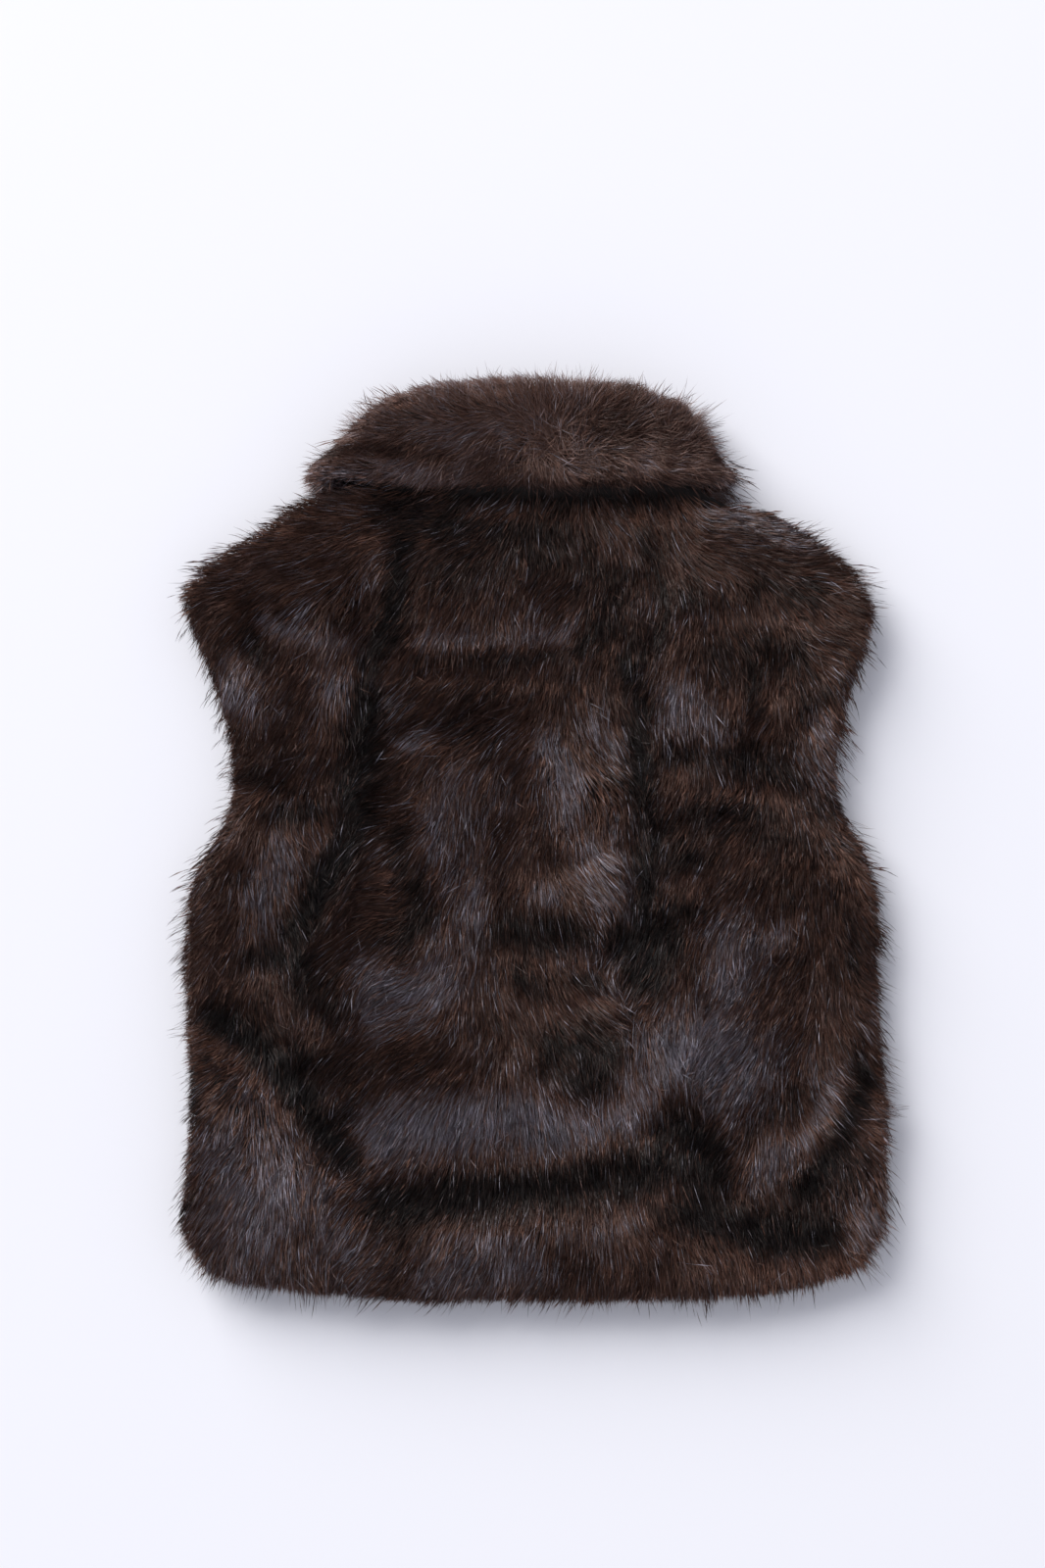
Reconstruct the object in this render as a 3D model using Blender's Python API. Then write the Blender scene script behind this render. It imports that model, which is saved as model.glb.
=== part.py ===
# Sleeveless faux fur vest with a turn-down collar, laid flat and face down.
# X runs across the chest, Y from the hem to the collar, Z up from the resting surface.
# The origin is at the bottom centre of the vest's box.
# Each wall is the backing cloth and the pile that lies on it, so it reaches as far as the fur does.

import math

import bmesh
import bpy
import numpy as np

MM = 0.001

# Layers, in millimetres above the resting surface
FRONT_TOP = 16.0
LAYER_GAP = 0.3
BACK_WALL = 17.0
RIM = 3.0
MOST_RISE = 9.0
UNDERSIDE_SHARE = 0.6
UNDERSIDE_START = 1.0
EDGE_ROUND = 23.0
EDGE_STEPS = (0.0, 1.5, 6.0, 13.0, 23.0)
BACK_CELL = 14.5
FRONT_CELL = 25.0
FRONT_LENGTH_CELL = 27.0

# Neck seam: half its width, where it lies at the centre back, the neck point and the centre front
NECK_HALF = 88.0
NECK_BACK = 266.0
NECK_POINT = 281.0
NECK_FRONT = 145.0
NECK_BACK_POWER = 4.0
NECK_FRONT_POWER = 1.8
NECK_CELL = 9.5
SEAM_GAP = 0.7
CENTRE_GAP = 0.3
CENTRE_ROUND = 9.0
CENTRE_STEPS = (0.0, 3.0, 9.0)
CENTRE_EDGE_WALL = 0.55
SHOULDER_BLEND = 16.0

# Collar: heights of its two layers at the back and at the front
COLLAR_MIDDLE = 18.0
COLLAR_FRONT_OPENING = 0.07
COLLAR_TURN_SHARE = 0.45
FALL_FRONT_EDGE = 75.0
FALL_SIDE_EDGE = 252.0
FALL_HALF = 146.0
RECESS = 9.5
RECESS_MARGIN = 16.0
RECESS_SLOPE = 26.0

# Sides from the hem corners to the shoulder tips.
# Columns: height, left side, right side
SIDE_ROWS = (
    (-299, -243, 241),
    (-286, -251, 250),
    (-262, -253, 254),
    (-232, -251, 255),
    (-204, -250, 256),
    (-176, -249, 254),
    (-148, -251, 251),
    (-120, -251, 249),
    (-92, -253, 248),
    (-64, -251, 249),
    (-36, -249, 247),
    (-15, -240, 242),
    (6, -226, 229),
    (27, -219, 222),
    (48, -217, 220),
    (76, -221, 224),
    (104, -228, 228),
    (132, -240, 238),
    (155, -249, 245),
    (177, -255, 246),
)
LEFT_TIP = 177.0
RIGHT_TIP = 166.0
HEM_CORNER = -299.0

# Shoulders from the tips to the neck points.
# Columns: distance from the centre, left shoulder's height, right shoulder's height
SHOULDER_ROWS = (
    (256, 176, 155),
    (246, 192, 166),
    (234, 201, 190),
    (213, 215, 213),
    (192, 230, 226),
    (171, 239, 234),
    (150, 249, 241),
    (120, 264, 255),
    (100, 276, 271),
    (88, 281, 281),
)

# Hem from its left corner to its right corner.
# Columns: distance from the centre, height
HEM_ROWS = (
    (-243, -299),
    (-236, -310),
    (-213, -319),
    (-171, -326),
    (-129, -329),
    (-87, -333),
    (-20, -332),
    (60, -333),
    (143, -330),
    (185, -325),
    (212, -317),
    (234, -309),
    (241, -299),
)

# Folds of the back, each along a few points: troughs are negative.
# Columns: name, rise, half width, points
FOLD_ROWS = (
    ("neck hollow left", -6, 17, ((-92, 232), (-104, 160), (-113, 108), (-122, 40))),
    ("left waist trough", -7, 18, ((-122, 40), (-147, -15), (-172, -71))),
    ("neck hollow right", -6, 17, ((76, 228), (68, 165), (66, 110), (70, 60))),
    ("right waist trough", -7, 18, ((70, 60), (77, 5), (73, -64), (52, -106))),
    ("front neck line", -4.5, 14, ((-110, 146), (-31, 139), (50, 133))),
    ("left armhole crease", -3.5, 14, ((-222, 167), (-170, 158), (-120, 147))),
    ("left underarm trough", -5, 16, ((-217, 58), (-164, 65), (-118, 82))),
    ("right underarm trough", -5, 16, ((66, 64), (130, 58), (178, 47), (220, 20))),
    ("lower left trough", -7, 15, ((-221, -125), (-172, -176), (-122, -238))),
    ("lower left roll", 7, 19, ((-244, -150), (-180, -212), (-132, -262))),
    ("hem trough", -7, 17, ((-122, -238), (-31, -236), (52, -219), (136, -197))),
    ("lower right trough", -6, 16, ((228, -169), (190, -225), (144, -260))),
    ("lower centre roll", 6, 24, ((-75, -172), (20, -168), (112, -150))),
    ("hem roll", 4, 22, ((-80, -284), (0, -281), (80, -276))),
    ("lower right roll", 5, 26, ((150, -150), (120, -190), (92, -222))),
    ("left shoulder roll", 4, 26, ((-165, 215), (-145, 185))),
    ("right shoulder roll", 4, 26, ((118, 212), (112, 175))),
    ("left chest roll", 4, 30, ((-200, 120), (-168, 112), (-140, 100))),
    ("left side roll", 5, 26, ((-218, -20), (-198, 10), (-168, 20))),
    ("right side roll", 5, 28, ((205, -30), (160, -8), (120, 5))),
    ("right chest roll", 4, 28, ((110, 140), (120, 100), (130, 85))),
    ("pocket by left waist", -4, 18, ((-80, -8), (-68, -24))),
    ("pocket at centre", -4, 17, ((4, 8), (18, 2))),
    ("pocket by right waist", -4, 20, ((100, -44), (118, -58))),
    ("pocket at lower centre", -4, 18, ((18, -95), (32, -104))),
    ("centre roll", 4, 24, ((-30, 60), (12, 55), (40, 40))),
    ("centre low roll", 4, 22, ((30, -30), (52, -20), (60, -60))),
)
COLLAR_COVER = 238.0
COLLAR_COVER_SLOPE = 14.0
COLLAR_PRESS = 1.5

# Collar cut across at four places. Columns: name, half width or height of the stand's middle, neck seam,
# centre of the fold, radius of the fold, lower edge, lean of the fall in degrees, stand and fall walls
COLLAR_ROWS = (
    ("back", 8.0, 266.0, 314.5, 9.0, 250.0, -2.5, 12.0, 14.0),
    ("left", 92.0, 281.0, 305.0, 9.0, 252.0, 43.0, 11.0, 13.0),
    ("right", 90.0, 281.0, 305.0, 9.0, 252.0, 34.0, 11.0, 13.0),
    ("front", 5.5, 145.0, 172.0, 4.15, 75.0, 0.0, 7.0, 7.4),
)
TOP_STATIONS = 14
SIDE_STATIONS = 8
FRONT_STATIONS = 10
MIDDLE_FALL = 3
FOLD_TURNS = 4

# Colours of the pile
BACK_COLOUR = (0.038, 0.022, 0.018)
FRONT_COLOUR = (0.034, 0.020, 0.016)
COLLAR_COLOUR = (0.050, 0.027, 0.022)
PILE_ROUGHNESS = 0.75


# A smooth curve through the rows of a table, taken at one position.
def table_value(rows, column, position):
    ordered = sorted(rows, key=lambda row: row[0])
    places = [row[0] for row in ordered]
    values = [row[column] for row in ordered]
    position = min(max(position, places[0]), places[-1])
    index = int(np.searchsorted(places, position, side="right")) - 1
    index = min(max(index, 0), len(places) - 2)
    slopes = np.gradient(values, places)
    span = places[index + 1] - places[index]
    part = (position - places[index]) / span
    start = (2 * part**3 - 3 * part**2 + 1) * values[index]
    start += (part**3 - 2 * part**2 + part) * span * slopes[index]
    end = (3 * part**2 - 2 * part**3) * values[index + 1]
    end += (part**3 - part**2) * span * slopes[index + 1]
    return start + end


# From 0 below the first bound to 1 above the second, with no corner.
def ramp(value, low, high):
    part = min(max((value - low) / (high - low), 0.0), 1.0)
    return part * part * (3 - 2 * part)


# Share of the full wall at a distance from a rounded edge.
def edge_share(distance, radius):
    part = 1 - min(max(distance / radius, 0.0), 1.0)
    return math.sqrt(max(0.0, 1 - part * part))


def left_side(height):
    return table_value(SIDE_ROWS, 1, height)


def right_side(height):
    return table_value(SIDE_ROWS, 2, height)


def hem(across):
    return table_value(HEM_ROWS, 1, across)


def neck_back(across):
    part = min(abs(across) / NECK_HALF, 1.0)
    return NECK_POINT + (NECK_BACK - NECK_POINT) * (1 - part**NECK_BACK_POWER)


def neck_front(across):
    part = min(abs(across) / NECK_HALF, 1.0)
    return NECK_POINT + (NECK_FRONT - NECK_POINT) * (1 - part**NECK_FRONT_POWER)


# Top edge of a panel: shoulder outside the neck point, neck line inside it.
def panel_top(across, neck):
    if abs(across) < NECK_HALF:
        return neck(across) - SEAM_GAP
    column = 1 if across < 0 else 2
    return table_value(SHOULDER_ROWS, column, abs(across)) - SEAM_GAP


# Lower edge of the collar's fall where it lies under the fronts.
def fall_front_edge(across):
    part = abs(across) / FALL_HALF
    return FALL_SIDE_EDGE + (FALL_FRONT_EDGE - FALL_SIDE_EDGE) * (1 - part**NECK_FRONT_POWER)


# Distance from a point to a run of straight pieces.
def path_distance(point, path):
    nearest = 1e9
    for start, end in zip(path, path[1:]):
        run = (end[0] - start[0], end[1] - start[1])
        length = run[0] ** 2 + run[1] ** 2
        along = (point[0] - start[0]) * run[0] + (point[1] - start[1]) * run[1]
        along = min(max(along / length, 0.0), 1.0)
        away = math.hypot(point[0] - start[0] - along * run[0], point[1] - start[1] - along * run[1])
        nearest = min(nearest, away)
    return nearest


# Rise of the back's upper side from its folds.
def fold_rise(across, height):
    rise = 0.0
    for _, amount, width, path in FOLD_ROWS:
        rise += amount * math.exp(-((path_distance((across, height), path) / width) ** 2))
    return min(max(rise, -MOST_RISE), MOST_RISE)


# Grid lines from 0 to length: close together near a rounded end, even between.
def spaced(length, cell, first, last):
    inner = length - first[-1] - last[-1]
    count = max(1, round(inner / cell))
    lines = list(first)
    lines += [first[-1] + inner * step / count for step in range(1, count)]
    lines += [length - step for step in reversed(last)]
    return lines


# Points of a four-sided panel, blended between its two sides, its hem and its top edge.
# The sides are functions of the share of the length; the hem and the top are lists of points.
def blended_grid(first_side, last_side, low_edge, high_edge, shares):
    first_place = high_edge[0][0]
    span = high_edge[-1][0] - first_place
    grid = []
    for share in shares:
        first, last = first_side(share), last_side(share)
        row = []
        for low, high in zip(low_edge, high_edge):
            part = (high[0] - first_place) / span
            point = []
            for axis in (0, 1):
                value = (1 - share) * low[axis] + share * high[axis]
                value += (1 - part) * first[axis] + part * last[axis]
                value -= (1 - part) * ((1 - share) * first_side(0)[axis] + share * first_side(1)[axis])
                value -= part * ((1 - share) * last_side(0)[axis] + share * last_side(1)[axis])
                point.append(value)
            row.append(point)
        grid.append(row)
    return grid


# Side of a panel from the hem corner to the shoulder tip, as a function of the share of its length.
def side_run(side, tip):
    def point(share):
        height = HEM_CORNER + share * (tip - HEM_CORNER)
        return side(height), height

    return point


# Distances of each grid point from the panel's first and last lines, along rows or columns.
def edge_distances(points, across):
    plane = np.array(points)
    if not across:
        plane = plane.transpose(1, 0, 2)
    steps = np.linalg.norm(np.diff(plane, axis=1), axis=2)
    start = np.concatenate([np.zeros((len(plane), 1)), np.cumsum(steps, axis=1)], axis=1)
    end = start[:, -1:] - start
    if not across:
        return start.T, end.T
    return start, end


# One closed wall from its upper and lower heights over the same grid.
def wall(name, points, upper, lower, colour):
    rows, columns = len(points), len(points[0])
    mesh = bmesh.new()
    sheets = []
    for heights in (upper, lower):
        sheet = []
        for row in range(rows):
            line = []
            for column in range(columns):
                across, height = points[row][column]
                corner = (across * MM, height * MM, heights[row][column] * MM)
                line.append(mesh.verts.new(corner))
            sheet.append(line)
        sheets.append(sheet)
    over, under = sheets
    for row in range(rows - 1):
        for column in range(columns - 1):
            square = ((row, column), (row, column + 1), (row + 1, column + 1), (row + 1, column))
            mesh.faces.new([over[a][b] for a, b in square])
            mesh.faces.new([under[a][b] for a, b in reversed(square)])
    ring = [(0, column) for column in range(columns - 1)]
    ring += [(row, columns - 1) for row in range(rows - 1)]
    ring += [(rows - 1, column) for column in range(columns - 1, 0, -1)]
    ring += [(row, 0) for row in range(rows - 1, 0, -1)]
    for here, there in zip(ring, ring[1:] + ring[:1]):
        rim = (under[here[0]][here[1]], under[there[0]][there[1]])
        rim += (over[there[0]][there[1]], over[here[0]][here[1]])
        mesh.faces.new(rim)
    return finished(name, mesh, colour)


def finished(name, mesh, colour):
    bmesh.ops.recalc_face_normals(mesh, faces=mesh.faces)
    for face in mesh.faces:
        face.smooth = True
    data = bpy.data.meshes.new(name)
    mesh.to_mesh(data)
    mesh.free()
    piece = bpy.data.objects.new(name, data)
    bpy.context.scene.collection.objects.link(piece)
    material = bpy.data.materials.new(name + "_pile")
    material.use_nodes = True
    shader = material.node_tree.nodes["Principled BSDF"]
    shader.inputs["Base Color"].default_value = (*colour, 1)
    shader.inputs["Roughness"].default_value = PILE_ROUGHNESS
    shader.inputs["Metallic"].default_value = 0
    data.materials.append(material)
    return piece


# The whole back, with its folds on the upper side.
def back_panel():
    first, last = left_side(LEFT_TIP), right_side(RIGHT_TIP)
    hem_first, hem_last = left_side(HEM_CORNER), right_side(HEM_CORNER)
    lines = spaced(last - first, BACK_CELL, EDGE_STEPS, EDGE_STEPS)
    high_edge = [(first + line, panel_top(first + line, neck_back)) for line in lines]
    hem_places = [hem_first + line / lines[-1] * (hem_last - hem_first) for line in lines]
    low_edge = [(place, hem(place)) for place in hem_places]
    length = LEFT_TIP - HEM_CORNER
    row_cell = BACK_CELL * length / (NECK_BACK - hem(0))
    shares = [line / length for line in spaced(length, row_cell, EDGE_STEPS, EDGE_STEPS)]
    sides = (side_run(left_side, LEFT_TIP), side_run(right_side, RIGHT_TIP))
    points = blended_grid(*sides, low_edge, high_edge, shares)
    from_left, from_right = edge_distances(points, True)
    from_hem, from_top = edge_distances(points, False)
    upper, lower = [], []
    for row, line in enumerate(points):
        upper.append([])
        lower.append([])
        for column, (across, height) in enumerate(line):
            share = edge_share(from_left[row][column], EDGE_ROUND)
            share *= edge_share(from_right[row][column], EDGE_ROUND)
            share *= edge_share(from_hem[row][column], EDGE_ROUND)
            open_edge = ramp(abs(across), NECK_HALF, NECK_HALF + SHOULDER_BLEND)
            share *= 1 - open_edge * (1 - edge_share(from_top[row][column], EDGE_ROUND))
            rise = fold_rise(across, height) * share
            covered = ramp(height, COLLAR_COVER, COLLAR_COVER + COLLAR_COVER_SLOPE)
            rise = rise * (1 - covered) - COLLAR_PRESS * covered * share
            floor = FRONT_TOP + LAYER_GAP + UNDERSIDE_SHARE * max(0.0, rise - UNDERSIDE_START)
            lower[-1].append(floor)
            upper[-1].append(FRONT_TOP + LAYER_GAP + RIM + (BACK_WALL - RIM) * share + rise)
    return wall("back_panel", points, upper, lower, BACK_COLOUR)


# One front, face down: flat below, with room for the collar's fall beneath its neck line.
def front_panel(name, side):
    tip = LEFT_TIP if side < 0 else RIGHT_TIP
    edge = left_side if side < 0 else right_side
    outer, hem_outer, centre = edge(tip), edge(HEM_CORNER), side * CENTRE_GAP / 2
    outer_lines = spaced(abs(outer) - NECK_HALF, FRONT_CELL, EDGE_STEPS, (0.0,))
    neck_lines = spaced(NECK_HALF - CENTRE_GAP / 2, NECK_CELL, (0.0,), CENTRE_STEPS)
    places = [side * (abs(outer) - line) for line in outer_lines]
    places += [side * (NECK_HALF - line) for line in neck_lines[1:]]
    high_edge = [(place, panel_top(place, neck_front)) for place in places]
    stretch = (hem_outer - centre) / (outer - centre)
    hem_places = [centre + (place - centre) * stretch for place in places]
    low_edge = [(place, hem(place)) for place in hem_places]
    length = tip - HEM_CORNER
    shares = [line / length for line in spaced(length, FRONT_LENGTH_CELL, EDGE_STEPS, EDGE_STEPS)]
    centre_low, centre_high = low_edge[-1][1], high_edge[-1][1]

    def centre_run(share):
        return centre, centre_low + share * (centre_high - centre_low)

    points = blended_grid(side_run(edge, tip), centre_run, low_edge, high_edge, shares)
    from_side, from_centre = edge_distances(points, True)
    from_hem, from_top = edge_distances(points, False)
    upper, lower = [], []
    for row, line in enumerate(points):
        upper.append([])
        lower.append([])
        for column, (across, height) in enumerate(line):
            share = edge_share(from_side[row][column], EDGE_ROUND)
            share *= edge_share(from_hem[row][column], EDGE_ROUND)
            centre_share = edge_share(from_centre[row][column], CENTRE_ROUND)
            share *= CENTRE_EDGE_WALL + (1 - CENTRE_EDGE_WALL) * centre_share
            open_edge = ramp(abs(across), NECK_HALF, NECK_HALF + SHOULDER_BLEND)
            share *= 1 - open_edge * (1 - edge_share(from_top[row][column], EDGE_ROUND))
            start = fall_front_edge(across) - RECESS_MARGIN
            room = RECESS * ramp(height, start - RECESS_SLOPE, start)
            upper[-1].append(FRONT_TOP)
            lower[-1].append(max(room, (FRONT_TOP - RIM) * (1 - share)))
    return wall(name, points, upper, lower, FRONT_COLOUR)


# The collar cut across: stand, fold and fall as one bent wall with a rounded lower edge.
# Each point has a height along Y and a distance outwards from the neck.
def collar_section(row):
    _, base, seam, turn, radius, edge, lean, stand_wall, fall_wall = row
    lean = math.radians(lean)
    middle = [(seam, 0.0), ((seam + turn) / 2, 0.0)]
    for step in range(FOLD_TURNS + 1):
        angle = -math.pi / 2 + (math.pi - lean) * step / FOLD_TURNS
        middle.append((turn + radius * math.cos(angle), radius + radius * math.sin(angle)))
    start = middle[-1]
    end = edge + fall_wall / 2
    for step in range(1, MIDDLE_FALL + 1):
        down = (start[0] - end) * step / MIDDLE_FALL
        middle.append((start[0] - down, start[1] + down * math.tan(lean)))
    line = np.array(middle)
    tangent = np.gradient(line, axis=0)
    tangent[0] = line[1] - line[0]
    tangent[-1] = line[-1] - line[-2]
    tangent /= np.linalg.norm(tangent, axis=1)[:, None]
    normal = np.stack([tangent[:, 1], -tangent[:, 0]], axis=1)
    half = np.interp(np.arange(len(line)), (1, len(line) - MIDDLE_FALL), (stand_wall / 2, fall_wall / 2))
    outside = line + normal * half[:, None]
    inside = line - normal * half[:, None]
    cap = []
    for angle in (45, 90, 135):
        turned = math.radians(angle)
        cap.append(line[-1] + half[-1] * (normal[-1] * math.cos(turned) + tangent[-1] * math.sin(turned)))
    section = np.concatenate([outside, cap, inside[::-1]])
    section[:, 1] += base
    return section


# The collar round the flattened neck, from the centre front over the back to the centre front.
def collar():
    back, left, right, front = (collar_section(row) for row in COLLAR_ROWS)
    stations = []
    for side, beside in ((-1, left), (1, right)):
        run = []
        for step in range(TOP_STATIONS // 2 + 1):
            run.append(("top", side * step / (TOP_STATIONS / 2), 0.0))
        for step in range(1, SIDE_STATIONS):
            run.append(("turn", side, math.pi / 2 - math.pi * step / SIDE_STATIONS))
        for step in range(FRONT_STATIONS + 1):
            share = 1 - (1 - COLLAR_FRONT_OPENING) * step / FRONT_STATIONS
            run.append(("bottom", side * share, 0.0))
        stations.append([collar_ring(station, back, beside, front) for station in run])
    loops = stations[0][::-1] + stations[1][1:]
    mesh = bmesh.new()
    rings = []
    for loop in loops:
        rings.append([mesh.verts.new([value * MM for value in point]) for point in loop])
    size = len(rings[0])
    for first, second in zip(rings, rings[1:]):
        for index in range(size):
            following = (index + 1) % size
            mesh.faces.new((first[index], first[following], second[following], second[index]))
    mesh.faces.new(rings[0][::-1])
    mesh.faces.new(rings[-1])
    bmesh.ops.triangulate(mesh, faces=[face for face in mesh.faces if len(face.verts) > 4])
    return finished("collar", mesh, COLLAR_COLOUR)


# One ring of the collar: places on the upper layer, round the side or on the lower layer.
def collar_ring(station, back, beside, front):
    kind, share, angle = station
    ring = []
    for over, out, under in zip(back, beside, front):
        above = over[1]
        below = under[1]
        turn = COLLAR_TURN_SHARE * (above + below)
        straight = out[1] - turn
        if kind == "turn":
            reach = above if angle > 0 else below
            across = share * (straight + turn * math.cos(angle))
            ring.append((across, out[0], COLLAR_MIDDLE + reach * math.sin(angle)))
            continue
        if kind == "top":
            height = out[0] + (over[0] - out[0]) * (1 - abs(share) ** NECK_BACK_POWER)
            ring.append((share * straight, height, COLLAR_MIDDLE + above))
        else:
            height = out[0] + (under[0] - out[0]) * (1 - abs(share) ** NECK_FRONT_POWER)
            ring.append((share * straight, height, COLLAR_MIDDLE - below))
    return ring


def centre_on_origin(pieces):
    corners = np.array([vertex.co for piece in pieces for vertex in piece.data.vertices])
    low, high = corners.min(axis=0), corners.max(axis=0)
    shift = ((low[0] + high[0]) / 2, (low[1] + high[1]) / 2, low[2])
    for piece in pieces:
        for vertex in piece.data.vertices:
            vertex.co.x -= shift[0]
            vertex.co.y -= shift[1]
            vertex.co.z -= shift[2]
    print("size in mm", np.round((high - low) / MM, 1), "moved by", np.round(np.array(shift) / MM, 2))


def main():
    for item in list(bpy.data.objects):
        bpy.data.objects.remove(item, do_unlink=True)
    pieces = [back_panel(), front_panel("front_left", -1), front_panel("front_right", 1), collar()]
    centre_on_origin(pieces)


main()
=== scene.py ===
import math

import bmesh
import bpy
import numpy as np
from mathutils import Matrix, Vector
from mathutils.bvhtree import BVHTree


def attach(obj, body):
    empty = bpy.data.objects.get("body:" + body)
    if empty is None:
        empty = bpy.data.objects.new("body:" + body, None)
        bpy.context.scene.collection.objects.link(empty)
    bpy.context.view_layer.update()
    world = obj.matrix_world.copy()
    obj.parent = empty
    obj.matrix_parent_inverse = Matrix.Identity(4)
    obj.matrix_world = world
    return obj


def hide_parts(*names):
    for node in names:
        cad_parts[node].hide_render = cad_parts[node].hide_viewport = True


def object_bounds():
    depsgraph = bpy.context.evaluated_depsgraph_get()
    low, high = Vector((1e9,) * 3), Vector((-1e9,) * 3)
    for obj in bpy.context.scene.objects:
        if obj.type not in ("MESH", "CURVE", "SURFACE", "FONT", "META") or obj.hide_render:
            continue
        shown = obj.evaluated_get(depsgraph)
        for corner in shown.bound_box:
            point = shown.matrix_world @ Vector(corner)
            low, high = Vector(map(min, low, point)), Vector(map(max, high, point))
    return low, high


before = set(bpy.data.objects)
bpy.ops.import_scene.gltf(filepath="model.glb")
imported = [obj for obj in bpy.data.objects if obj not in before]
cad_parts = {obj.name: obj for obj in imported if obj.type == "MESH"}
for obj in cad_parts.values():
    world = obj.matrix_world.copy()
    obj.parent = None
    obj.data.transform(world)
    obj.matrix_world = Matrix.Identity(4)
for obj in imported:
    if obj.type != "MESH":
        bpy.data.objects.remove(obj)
cadLow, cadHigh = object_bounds()
millimetre = 0.001
print("frame loaded")

# Photo to part: a pixel near the part's origin, the millimetres that a pixel shows, and where that pixel lies
photo = {"column": 545, "row": 858, "pixel": 0.7, "placeX": -0.5, "placeY": 1.68}
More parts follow.
